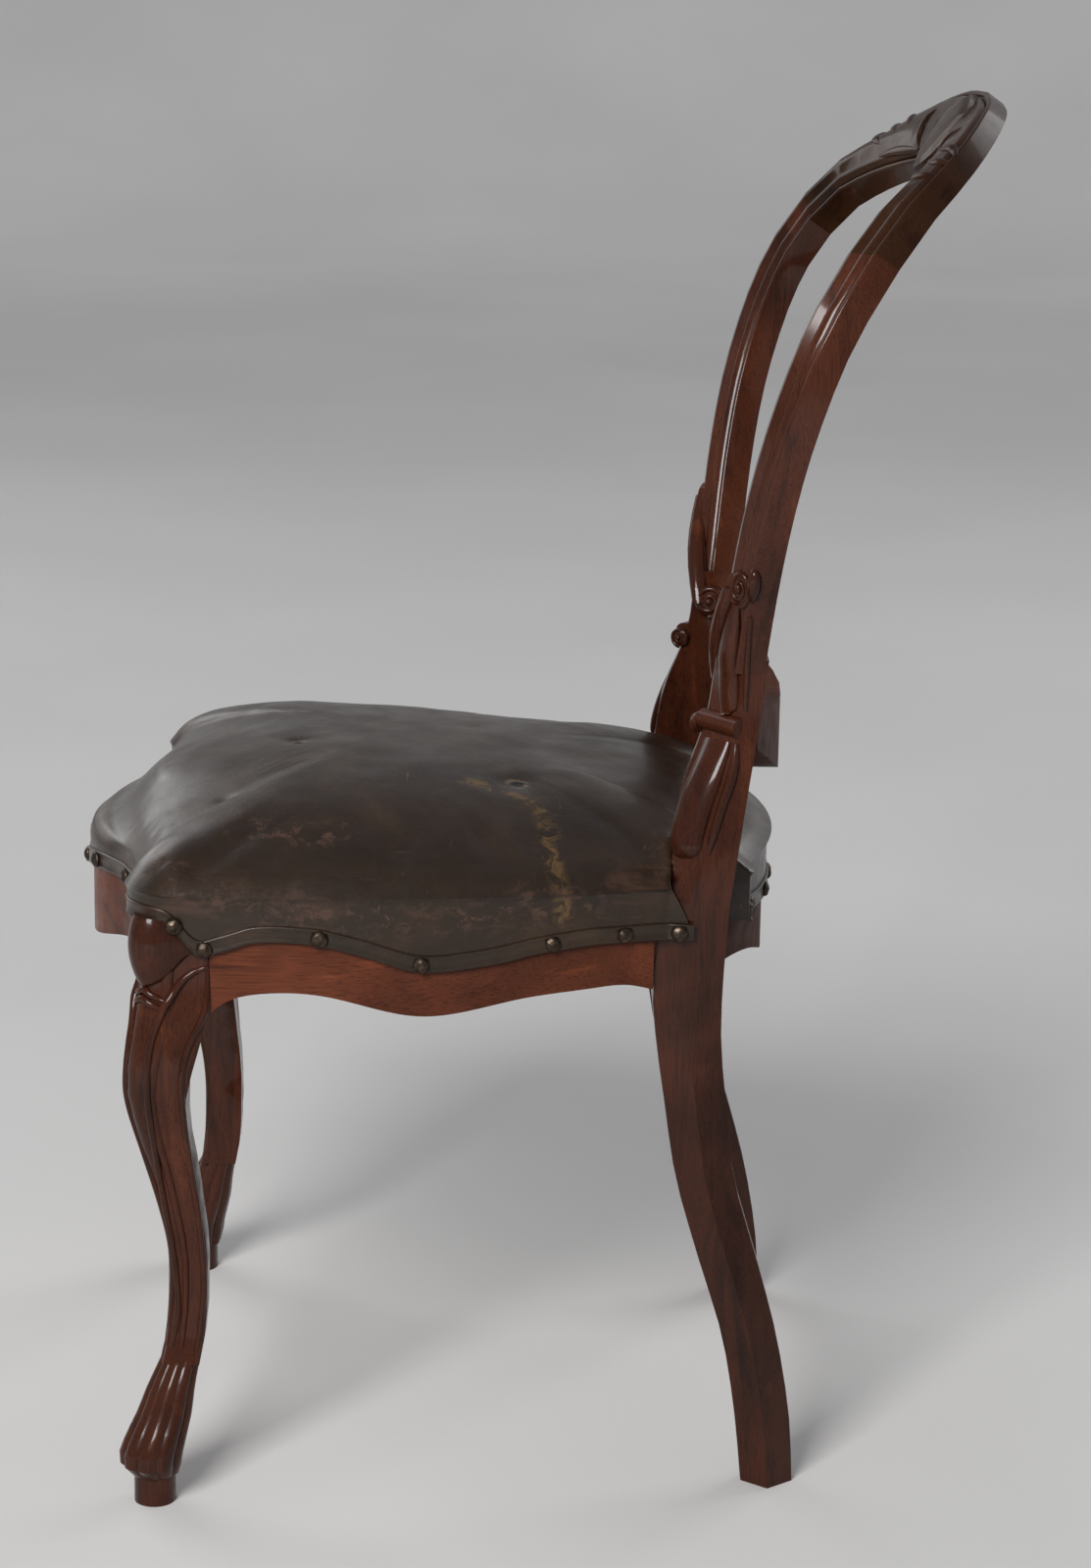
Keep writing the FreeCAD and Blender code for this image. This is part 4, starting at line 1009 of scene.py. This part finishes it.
def nail_tree(material):
    """Geometry Nodes tree that sets a dented dome on every point, along its own outward direction."""
    tree = bpy.data.node_groups.new("dome nails", "GeometryNodeTree")
    face = tree.interface
    face.new_socket("Geometry", in_out="INPUT", socket_type="NodeSocketGeometry")
    sizes = [face.new_socket(name, in_out="INPUT", socket_type="NodeSocketFloat").identifier
             for name in ("Radius", "Height", "Dent")]
    face.new_socket("Geometry", in_out="OUTPUT", socket_type="NodeSocketGeometry")
    net = Net(tree)
    given = net.add("NodeGroupInput", {})
    # A ball that is cut flat just below its middle becomes the dome.
    ball = net.add("GeometryNodeMeshUVSphere", {"Segments": 28, "Rings": 20, "Radius": 1.0})["Mesh"]
    place = net.add("GeometryNodeInputPosition", {})["Position"]
    x, y, z = net.add("ShaderNodeSeparateXYZ", {"Vector": place})
    wide = [net.math("MULTIPLY", side, given["Radius"]) for side in (x, y)]
    tall = net.math("MULTIPLY", net.math("MAXIMUM", z, -0.08), given["Height"])
    dome = net.add("ShaderNodeCombineXYZ", {"X": wide[0], "Y": wide[1], "Z": tall})["Vector"]
    form = net.add("GeometryNodeSetPosition", {"Geometry": ball, "Position": dome})["Geometry"]
    out = net.add("GeometryNodeInputNamedAttribute", {"Name": "out"}, data_type="FLOAT_VECTOR")["Attribute"]
    turn = net.add("FunctionNodeAlignRotationToVector", {"Vector": out}, axis="Z")["Rotation"]
    size = net.add("FunctionNodeRandomValue", {2: 0.94, 3: 1.04, "Seed": 7}, data_type="FLOAT")[1]
    put = net.add("GeometryNodeInstanceOnPoints", {"Points": given["Geometry"], "Instance": form,
                                                   "Rotation": turn, "Scale": size})["Instances"]
    real = net.add("GeometryNodeRealizeInstances", {"Geometry": put})["Geometry"]
    spot = net.add("GeometryNodeInputPosition", {})["Position"]
    rough = net.add("ShaderNodeTexNoise", {"Scale": 230.0, "Detail": 1.0, "Vector": spot})["Fac"]
    deep = net.math("MULTIPLY", net.math("SUBTRACT", rough, 0.55), given["Dent"])
    away = net.add("GeometryNodeInputNormal", {})["Normal"]
    push = net.add("ShaderNodeVectorMath", {0: away, "Scale": deep}, operation="SCALE")["Vector"]
    dented = net.add("GeometryNodeSetPosition", {"Geometry": real, "Offset": push})["Geometry"]
    coat = net.add("GeometryNodeSetMaterial", {"Geometry": dented, "Material": material})["Geometry"]
    net.add("NodeGroupOutput", {"Geometry": coat})
    return tree, sizes


# Carving, on the sitter's left side, with the right side as its mirror

KNEE_CORNER = Vector((KNEE_OUT_X, LEG_FRONT_Y, 0))
KNOB_LOW_Z = 0.3530
KNOB_REACH = (0.015, 0.037)      # from the corner along each face, at the collar and at the banding
KNOB_SWELL = 0.0088
COLLAR_Z = (0.3505, 0.3447)
FRONT_BEAD = ((0.2094, -0.2028, 0.3660), (0.2091, -0.2103, 0.3633), (0.2094, -0.2177, 0.3582),
              (0.2100, -0.2242, 0.3497), (0.2129, -0.2298, 0.3411), (0.2145, -0.2345, 0.3310),
              (0.2155, -0.2385, 0.3180), (0.2165, -0.2403, 0.3060), (0.2186, -0.2410, 0.2881),
              (0.2152, -0.2393, 0.2637), (0.2075, -0.2366, 0.2376), (0.2003, -0.2334, 0.2113),
              (0.1930, -0.2289, 0.1757), (0.1915, -0.2250, 0.1406), (0.1928, -0.2249, 0.1233),
              (0.1942, -0.2270, 0.1111), (0.1958, -0.2292, 0.1028))
REAR_BEAD = ((0.2094, -0.2030, 0.3655), (0.2115, -0.2032, 0.3500), (0.2135, -0.2040, 0.3385),
             (0.2152, -0.2093, 0.3271), (0.2167, -0.2163, 0.3109), (0.2189, -0.2193, 0.2927),
             (0.2165, -0.2186, 0.2686), (0.2089, -0.2158, 0.2383), (0.2019, -0.2121, 0.2100),
             (0.1952, -0.2092, 0.1772), (0.1930, -0.2075, 0.1414), (0.1945, -0.2101, 0.1183),
             (0.1965, -0.2122, 0.1018), (0.1965, -0.2143, 0.0888))
HIP_LEAF = ((0.1432, 0.1180, 0.5005), (0.1478, 0.1134, 0.4810), (0.1508, 0.1068, 0.4629),
            (0.1537, 0.1016, 0.4440), (0.1566, 0.1002, 0.4320), (0.1580, 0.1004, 0.4262))
HIP_EDGE = ((0.1541, 0.1298, 0.5003), (0.1574, 0.1264, 0.4799), (0.1601, 0.1205, 0.4619),
            (0.1623, 0.1154, 0.4433), (0.1638, 0.1123, 0.4305))
SCROLL_FACE = ((0.1575, 0.1262, 0.5930), (0.1540, 0.1250, 0.5800), (0.1500, 0.1240, 0.5652),
               (0.1440, 0.1236, 0.5445), (0.1430, 0.1240, 0.5257), (0.1446, 0.1251, 0.5165))
SCROLL_EDGE = ((0.1653, 0.1351, 0.5853), (0.1600, 0.1343, 0.5680), (0.1572, 0.1341, 0.5542),
               (0.1550, 0.1341, 0.5400), (0.1544, 0.1341, 0.5225))
SCROLL_BUD = ((0.1735, 0.1362, 0.6190), (0.1735, 0.1360, 0.6120), (0.1715, 0.1356, 0.6040),
              (0.1690, 0.1352, 0.5960))
SHIELD_EDGE = ((0.0697, 0.2656, 0.8824), (0.0646, 0.2600, 0.8777), (0.0611, 0.2557, 0.8705),
               (0.0583, 0.2533, 0.8633), (0.0500, 0.2515, 0.8575))
CREST_LEAVES = (((0.0927, 0.2498, 0.8709), (0.1040, 0.2525, 0.8728), (0.1140, 0.2555, 0.8730),
                 (0.1273, 0.2555, 0.8699)),
                ((0.1050, 0.2420, 0.8640), (0.1224, 0.2448, 0.8657), (0.1326, 0.2524, 0.8660)),
                ((0.1120, 0.2310, 0.8560), (0.1265, 0.2315, 0.8573), (0.1361, 0.2383, 0.8592),
                 (0.1458, 0.2444, 0.8547)),
                ((0.0525, 0.2520, 0.8563), (0.0837, 0.2422, 0.8532), (0.1047, 0.2321, 0.8473)))
# The beads of a leg's face, each with its half widths and its heights from the knee to the foot
LEG_BEADS = ((FRONT_BEAD, (0.0016, 0.0028, 0.0028, 0.0025, 0.0022, 0.0022, 0.0010),
              (0.0012, 0.0034, 0.0032, 0.0028, 0.0024, 0.0022, 0.0003)),
             (REAR_BEAD, (0.0012, 0.0024, 0.0024, 0.0022, 0.0020, 0.0020, 0.0010),
              (0.0010, 0.0028, 0.0028, 0.0025, 0.0021, 0.0020, 0.0003)))


def smooth_path(places, steps):
    """Points on the smooth curve through a list of places."""
    places = [Vector(p) for p in places]
    line = []
    for i in range(len(places) - 1):
        before = places[max(i - 1, 0)]
        a, b = places[i], places[i + 1]
        after = places[min(i + 2, len(places) - 1)]
        for k in range(steps):
            t = k / steps
            line.append(0.5 * (2 * a + (b - before) * t + (2 * before - 5 * a + 4 * b - after) * t * t
                               + (3 * a - before - 3 * b + after) * t ** 3))
    line.append(places[-1])
    return line


def across_leg(places):
    """The same line on the leg's front face, which mirrors its outer face over the corner."""
    return [(KNEE_OUT_X - (y - LEG_FRONT_Y), LEG_FRONT_Y - (x - KNEE_OUT_X), z) for x, y, z in places]


class Carving:
    """Collects carved forms that are laid on the surface of sawn pieces."""

    def __init__(self, *nodes):
        self.points = []
        self.faces = []
        self.trees = []
        for node in nodes:
            bm = bmesh.new()
            bm.from_mesh(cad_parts[node].data)
            self.trees.append(BVHTree.FromBMesh(bm))
            bm.free()

    def loops(self, loops):
        """Closed skin through loops of points, with its two ends filled."""
        base = len(self.points)
        count = len(loops[0])
        for loop in loops:
            self.points.extend(tuple(p) for p in loop)
        self.faces += tube_faces(base, len(loops), count)
        for k in (0, len(loops) - 1):
            middle = len(self.points)
            self.points.append(tuple(sum((Vector(p) for p in loops[k]), Vector()) / count))
            a = base + k * count
            self.faces += [(middle, a + i, a + (i + 1) % count) for i in range(count)]

    def rod(self, path, widths, heights, facings, sides=14):
        """Rod whose width and height change along a path, with its height towards the facings."""
        last = len(path) - 1
        width_rows, height_rows = ([(i / (len(sizes) - 1), v) for i, v in enumerate(sizes)]
                                   for sizes in (widths, heights))
        loops = []
        for k, p in enumerate(path):
            along = (path[min(k + 1, last)] - path[max(k - 1, 0)]).normalized()
            facing = (facings[k] - along * facings[k].dot(along)).normalized()
            side = along.cross(facing)
            wide = blend_rows(width_rows, k / last)
            high = blend_rows(height_rows, k / last)
            loops.append([p + side * (wide * math.cos(2 * math.pi * i / sides))
                          + facing * (high * math.sin(2 * math.pi * i / sides)) for i in range(sides)])
        self.loops(loops)

    def line(self, places, widths, heights, sides=14, steps=8):
        """Rod laid along the nearest wood."""
        path = []
        facings = []
        for p in smooth_path(places, steps):
            found = min((tree.find_nearest(p) for tree in self.trees), key=lambda hit: hit[3])
            path.append(found[0])
            facings.append(found[1])
        for _ in range(6):
            eased = [(a + b * 2 + c) / 4 for a, b, c in zip(path, path[1:], path[2:])]
            turned = [(a + b + c).normalized() for a, b, c in zip(facings, facings[1:], facings[2:])]
            path = [path[0]] + eased + [path[-1]]
            facings = [facings[0]] + turned + [facings[-1]]
        self.rod(path, widths, heights, facings, sides)

    def volute(self, middle, out, radius, tall, turns=1.9, hand=1):
        """Spiral scroll on a low boss, whose line tightens towards a raised eye."""
        middle, out, up = Vector(middle), Vector(out).normalized(), Vector((0, 0, 1))
        side = up.cross(out) * hand

        def place(share, rise, angle):
            return (middle + side * (share * radius * math.cos(angle)) + up * (share * tall * math.sin(angle))
                    + out * (rise * radius))

        def boss(count, *rings):
            self.loops([[place(share, rise, 2 * math.pi * i / count) for i in range(count)]
                        for share, rise in rings])

        boss(28, (0.92, -0.6), (1.0, -0.15), (0.97, 0.12), (0.85, 0.24), (0.55, 0.28), (0.2, 0.30))
        steps = 54
        path = []
        for k in range(steps + 1):
            t = k / steps
            angle = 2 * math.pi * turns * t - math.pi / 2
            path.append(place(0.84 * (1 - t) ** 0.9 + 0.16, 0.16 + 0.28 * t, angle))
        thick = [share * radius for share in (0.20, 0.17, 0.12, 0.09)]
        self.rod(path, thick, thick, [out] * len(path), 10)
        boss(16, (0.26, 0.2), (0.27, 0.42), (0.20, 0.56), (0.08, 0.62))

    def knob(self):
        """Smooth shield on the knee's corner, from the collar up to the slanting banding."""
        samples = 37
        rows = 24
        round_in = 0.010
        quarter = math.pi / 2 * round_in
        loops = []
        for r in range(rows):
            v = r / (rows - 1)
            reach = KNOB_REACH[0] + (KNOB_REACH[1] - KNOB_REACH[0]) * v ** 0.62
            straight = reach - round_in
            loop = []
            for s in range(samples):
                u = s / (samples - 1)
                run = u * (2 * straight + quarter)
                if run < straight:
                    place = Vector((0, reach - run, 0))
                    out = Vector((1, 0, 0))
                elif run < straight + quarter:
                    a = (run - straight) / round_in
                    out = Vector((math.cos(a), -math.sin(a), 0))
                    place = Vector((-round_in, round_in, 0)) + out * round_in
                else:
                    place = Vector((-(run - straight - quarter) - round_in, 0, 0))
                    out = Vector((0, -1, 0))
                full = max(math.sin(math.pi * u), 0.0) ** 0.68
                body = max(math.sin(math.pi * (0.04 + 0.84 * v)), 0.0) ** 0.7
                place += KNEE_CORNER + out * (KNOB_SWELL * full * body - 0.0012)
                low = KNOB_LOW_Z + 0.004 * (1 - full)
                high = trim_height(place.x, place.y) + 0.004
                place.z = low + (high - low) * v
                loop.append(place)
            back = KNEE_CORNER + Vector((-0.022, 0.022, 0))
            back.z = loop[samples // 2].z
            loop.append(back)
            loops.append(loop)
        self.loops(loops)

    def collar(self, middle_z):
        """Ring round the corner of the knee that falls away on both sides."""
        places = []
        round_in = 0.009
        for k in range(-10, 11):
            far = abs(k) / 10 * 0.017
            if far < round_in:
                a = math.pi / 4 * (1 + math.copysign(far / round_in, k))
                place = Vector((-round_in + round_in * math.sin(a), round_in - round_in * math.cos(a), 0))
            else:
                place = Vector((0, far, 0)) if k > 0 else Vector((-far, 0, 0))
            place += KNEE_CORNER
            place.z = middle_z - 0.42 * far
            places.append(place)
        self.line(places, (0.0014, 0.0024, 0.0026, 0.0024, 0.0014),
                  (0.0014, 0.0028, 0.0032, 0.0028, 0.0014), 12, 2)

    def mesh(self, name):
        """Everything so far and its mirror over the middle of the chair."""
        count = len(self.points)
        points = self.points + [(-x, y, z) for x, y, z in self.points]
        faces = self.faces + [tuple(count + v for v in reversed(face)) for face in self.faces]
        mesh = mesh_from(name, points, faces)
        outwards(mesh)
        smooth(mesh, radians(75))
        return mesh


def knee_carving():
    work = Carving("left_front_leg")
    work.knob()
    for z in COLLAR_Z:
        work.collar(z)
    for bead, widths, heights in LEG_BEADS:
        for places in (bead, across_leg(bead)):
            work.line(places, widths, heights, 12, 7)
    return work.mesh("knee_carving")


def hip_carving():
    work = Carving("left_back_post")
    work.line(HIP_LEAF, (0.0120, 0.0130, 0.0132, 0.0126, 0.0112, 0.0050),
              (0.0036, 0.0062, 0.0068, 0.0066, 0.0054, 0.0012), 26)
    work.line(HIP_EDGE, (0.0026, 0.0034, 0.0032, 0.0028, 0.0012), (0.0020, 0.0036, 0.0034, 0.0028, 0.0008))
    work.volute((0.1245, 0.1068, 0.5080), (-0.79, -0.61, 0), 0.0064, 0.0068, 1.4)
    return work.mesh("hip_carving")


def scroll_carving():
    """Both volutes of the waist scroll and the rolled moulding between them."""
    work = Carving("left_waist_scroll", "left_back_post")
    work.line(SCROLL_FACE, (0.0045, 0.0068, 0.0086, 0.0096, 0.0090, 0.0060),
              (0.0026, 0.0046, 0.0056, 0.0056, 0.0046, 0.0020), 20)
    work.line(SCROLL_EDGE, (0.0014, 0.0019, 0.0020, 0.0019, 0.0014),
              (0.0012, 0.0022, 0.0024, 0.0022, 0.0012))
    work.volute((0.1640, 0.1285, 0.6035), (0.75, -0.66, 0), 0.0078, 0.0118)
    work.volute((0.1160, 0.1265, 0.5360), (-1, -0.25, 0), 0.0108, 0.0112, 1.9, -1)
    work.line(SCROLL_BUD, (0.0014, 0.0042, 0.0044, 0.0016), (0.0014, 0.0046, 0.0046, 0.0014))
    return work.mesh("scroll_carving")


def crest_carving():
    """Edge of the middle shield and the leaves that run out of it."""
    work = Carving("crest_rail")
    work.line(SHIELD_EDGE, (0.0010, 0.0022, 0.0026, 0.0024, 0.0012),
              (0.0003, 0.0018, 0.0024, 0.0022, 0.0006))
    for leaf in CREST_LEAVES:
        work.line(leaf, (0.0010, 0.0030, 0.0036, 0.0028, 0.0008),
                  (0.0002, 0.0014, 0.0019, 0.0014, 0.0002), 16)
    return work.mesh("crest_carving")


# Operators, one for each group of like pieces

class CHAIR_OT_wood(bpy.types.Operator):
    """Polish the shown wooden pieces, each with its grain the way that it was sawn"""
    bl_idname = "chair.wood"
    bl_label = "Polished wood"

    def execute(self, context):
        angle = context.scene.chair_wood.edge_angle
        for node, (axis, kind) in SHOWN_WOOD.items():
            mesh = welded_copy(node, node + "_polished")
            outwards(mesh)
            smooth(mesh, angle)
            piece = new_object(node + "_polished", mesh)
            dress(piece, polished_wood(axis, kind), "polished_wood", node)
        return {"FINISHED"}


class CHAIR_OT_carving(bpy.types.Operator):
    """Carve the knees, the hips, the waist scrolls and the crest"""
    bl_idname = "chair.carving"
    bl_label = "Carving"

    def execute(self, context):
        for carve, kind in ((knee_carving, "carving"), (hip_carving, "carving"), (scroll_carving, "carving"),
                            (crest_carving, "crest")):
            mesh = carve()
            dress(new_object(mesh.name, mesh), polished_wood("z", kind), "polished_wood")
        return {"FINISHED"}


class CHAIR_OT_hidden(bpy.types.Operator):
    """Finish the blocks, dowels, screws, tacks, webbing and hessian that the chair hides"""
    bl_idname = "chair.hidden"
    bl_label = "Inside of the seat"

    def execute(self, context):
        for node in PLAIN_WOOD:
            paint_node(node, plain_wood())
        for node in IRON:
            paint_node(node, dark_iron())
        for node in WEBBING:
            paint_node(node, jute(node, 0.0016, ((0.26, 0.19, 0.11), (0.40, 0.31, 0.19))))
        paint_node("hessian", jute("hessian", 0.0022, ((0.22, 0.15, 0.085), (0.34, 0.25, 0.14)), radians(4)))
        return {"FINISHED"}


class CHAIR_OT_seat(bpy.types.Operator):
    """Stretch the old leather over the stuffing, down over the rails and round the posts"""
    bl_idname = "chair.seat"
    bl_label = "Leather seat"

    def execute(self, context):
        hide = context.scene.chair_leather
        form = SeatForm()
        mesh = pad_mesh("seat", form, True)
        before, after = simulated_swell(form)
        follow(mesh, before, after, hide.swell)
        refine(mesh)
        age_seat(mesh)
        seat = joined_object("leather_seat", [mesh, flap_mesh()])
        smooth(seat.data, radians(62))
        mark_hide(seat.data)
        dress(seat, worn_leather("worn_leather", True), "leather", "leather_cover", "stuffing")
        return {"FINISHED"}


class CHAIR_OT_banding(bpy.types.Operator):
    """Lay the folded leather strip over the lower edge of the cover"""
    bl_idname = "chair.banding"
    bl_label = "Leather banding"

    def execute(self, context):
        height = context.scene.chair_leather.strip
        front, back = banding_runs(HIDE)
        for name, run in (("leather_banding", front), ("back_banding", back)):
            piece = new_object(name + "_strip", band_mesh([run], height))
            smooth(piece.data, radians(70))
            dress(piece, worn_leather("banding_leather", False), "leather", name)
        return {"FINISHED"}


class CHAIR_OT_nails(bpy.types.Operator):
    """Drive the dome nails through the banding"""
    bl_idname = "chair.nails"
    bl_label = "Dome nails"

    def execute(self, context):
        nails = context.scene.chair_nails
        places = islands("dome_nails")
        mesh = mesh_from("nail places", [seat for seat, out in places], [])
        outward = mesh.attributes.new("out", "FLOAT_VECTOR", "POINT")
        for item, (seat, out) in zip(outward.data, places):
            item.vector = out
        piece = new_object("dome_nails_dented", mesh)
        material = nail_brass()
        tree, sizes = nail_tree(material)
        grow = piece.modifiers.new("dome nails", "NODES")
        grow.node_group = tree
        for key, value in zip(sizes, (nails.radius, nails.height, nails.dent)):
            grow[key] = value
        made = evaluated(piece)
        piece.modifiers.clear()
        piece.data = made
        bpy.data.meshes.remove(mesh)
        bpy.data.node_groups.remove(tree)
        smooth(made)
        dress(piece, material, "brass", "dome_nails")
        return {"FINISHED"}


# The stage, in metres, and the camera of the photograph, with its lens and sensor in millimetres
FLOOR_REACH = 6.5
COVE = 2.0
WALL_TOP = 4.5
EYE = (2.516, -0.0378, 1.094)
YAW, PITCH, ROLL = radians(1.12), radians(14.73), radians(0.96)
LENS = 88.18
SENSOR = 36.0
# Each lamp with its place, where it points and its size
LAMPS = {"key": ((2.7, -1.25, 2.3), (0.0, 0.0, 0.45), 1.3), "fill": ((-2.0, 2.6, 2.2), (0.0, 0.0, 0.5), 2.2),
         "side": ((-2.4, -2.2, 2.2), (0.0, 0.0, 0.5), 2.2)}


class CHAIR_OT_stage(bpy.types.Operator):
    """Set the chair on a plain studio floor with soft lamps and the camera of the photograph"""
    bl_idname = "chair.stage"
    bl_label = "Floor, lamps and camera"

    def execute(self, context):
        stage = context.scene.chair_stage
        floor = self.floor(stage)
        powers = {"key": stage.key, "fill": stage.fill, "side": stage.fill * 0.8}
        key, fill, side = (self.lamp(name, powers[name], *LAMPS[name]) for name in powers)
        camera = self.camera()
        world = context.scene.world or bpy.data.worlds.new("room")
        context.scene.world = world
        world.use_nodes = True
        light = world.node_tree.nodes["Background"]
        light.inputs["Color"].default_value = (0.86, 0.90, 1.0, 1.0)
        light.inputs["Strength"].default_value = stage.sky
        context.scene.view_settings.view_transform = "Standard"
        return {"FINISHED"}

    def floor(self, stage):
        """Round floor that curves up into a backdrop far away on every side."""
        profile = [(0.02, 0.0), (1.2, 0.0), (3.0, 0.0), (FLOOR_REACH, 0.0)]
        for k in range(1, 11):
            t = math.pi / 2 * k / 10
            profile.append((FLOOR_REACH + COVE * math.sin(t), COVE * (1 - math.cos(t))))
        profile.append((FLOOR_REACH + COVE, WALL_TOP))
        sides = 72
        turns = [2 * math.pi * i / sides for i in range(sides)]
        points = [(radius * math.cos(turn), radius * math.sin(turn), z)
                  for radius, z in profile for turn in turns]
        mesh = mesh_from("backdrop", points, [tuple(range(sides))] + tube_faces(0, len(profile), sides))
        smooth(mesh)
        floor = new_object("backdrop", mesh)
        shader = Shader("backdrop_paper")
        cloud = shader.noise(shader.place(), 1.4, 3.0, 0.5)
        tint = Vector(stage.floor)
        colour = shader.ramp(cloud, [(0.3, tint * 0.96), (0.7, tint * 1.03)])
        fibres = shader.noise(shader.place(), 300.0, 2.0, 0.6)
        roughness = shader.ramp(fibres, [(0.3, 0.75), (0.7, 0.9)])
        # Far from the lamps the backdrop glows a little for the camera and for reflections, never as a light.
        path = shader.add("ShaderNodeLightPath", {})
        seen = shader.math("ADD", path["Is Camera Ray"], path["Is Glossy Ray"], True)
        seen = shader.math("ADD", seen, path["Is Transmission Ray"], True)
        away = shader.add("ShaderNodeVectorMath", {0: shader.place()}, operation="LENGTH")["Value"]
        glow = shader.math("MULTIPLY", shader.map_range(away, 1.2, 7.5, 0.0, 0.34), seen)
        mesh.materials.append(shader.finish(colour, roughness, shader.bump(fibres, 0.05, 0.0005),
                                            ("Emission Color", colour), ("Emission Strength", glow)))
        return floor

    def lamp(self, name, power, place, aim, size):
        data = bpy.data.lights.new(name, "AREA")
        data.energy = power
        data.size = size
        lamp = new_object(name, data)
        lamp.location = place
        lamp.rotation_euler = (Vector(aim) - Vector(place)).to_track_quat("-Z", "Y").to_euler()
        return lamp

    def camera(self):
        data = bpy.data.cameras.new("photograph")
        data.sensor_fit = "VERTICAL"
        data.sensor_height = SENSOR
        data.lens = LENS
        camera = new_object("photograph", data)
        flat = math.cos(PITCH)
        view = Vector((-flat * math.cos(YAW), flat * math.sin(YAW), -math.sin(PITCH)))
        right = view.cross(Vector((0, 0, 1))).normalized()
        up = right.cross(view)
        turn = Matrix((right * math.cos(ROLL) + up * math.sin(ROLL),
                       up * math.cos(ROLL) - right * math.sin(ROLL), -view)).transposed()
        camera.matrix_world = Matrix.Translation(EYE) @ turn.to_4x4()
        bpy.context.scene.camera = camera
        return camera


class CHAIR_PT_steps(bpy.types.Panel):
    """Lists the steps that finish the chair"""
    bl_label = "Medallion back chair"
    bl_space_type = "VIEW_3D"
    bl_region_type = "UI"
    bl_category = "Chair"

    def draw(self, context):
        for group in GROUPS:
            box = self.layout.box()
            settings = getattr(context.scene, group)
            for name in settings.__annotations__:
                box.prop(settings, name)
        for step in STEPS:
            self.layout.operator(step.bl_idname)


STEPS = (CHAIR_OT_wood, CHAIR_OT_carving, CHAIR_OT_hidden, CHAIR_OT_seat, CHAIR_OT_banding, CHAIR_OT_nails,
         CHAIR_OT_stage)


def register():
    for kind in (*GROUPS.values(), *STEPS, CHAIR_PT_steps):
        bpy.utils.register_class(kind)
    for name, kind in GROUPS.items():
        setattr(bpy.types.Scene, name, PointerProperty(type=kind))


def unregister():
    for name in GROUPS:
        delattr(bpy.types.Scene, name)
    for kind in (CHAIR_PT_steps, *reversed(STEPS), *GROUPS.values()):
        bpy.utils.unregister_class(kind)


def main():
    register()
    for step in (bpy.ops.chair.wood, bpy.ops.chair.carving, bpy.ops.chair.hidden, bpy.ops.chair.seat,
                 bpy.ops.chair.banding, bpy.ops.chair.nails, bpy.ops.chair.stage):
        step()


if __name__ == "__main__":
    main()
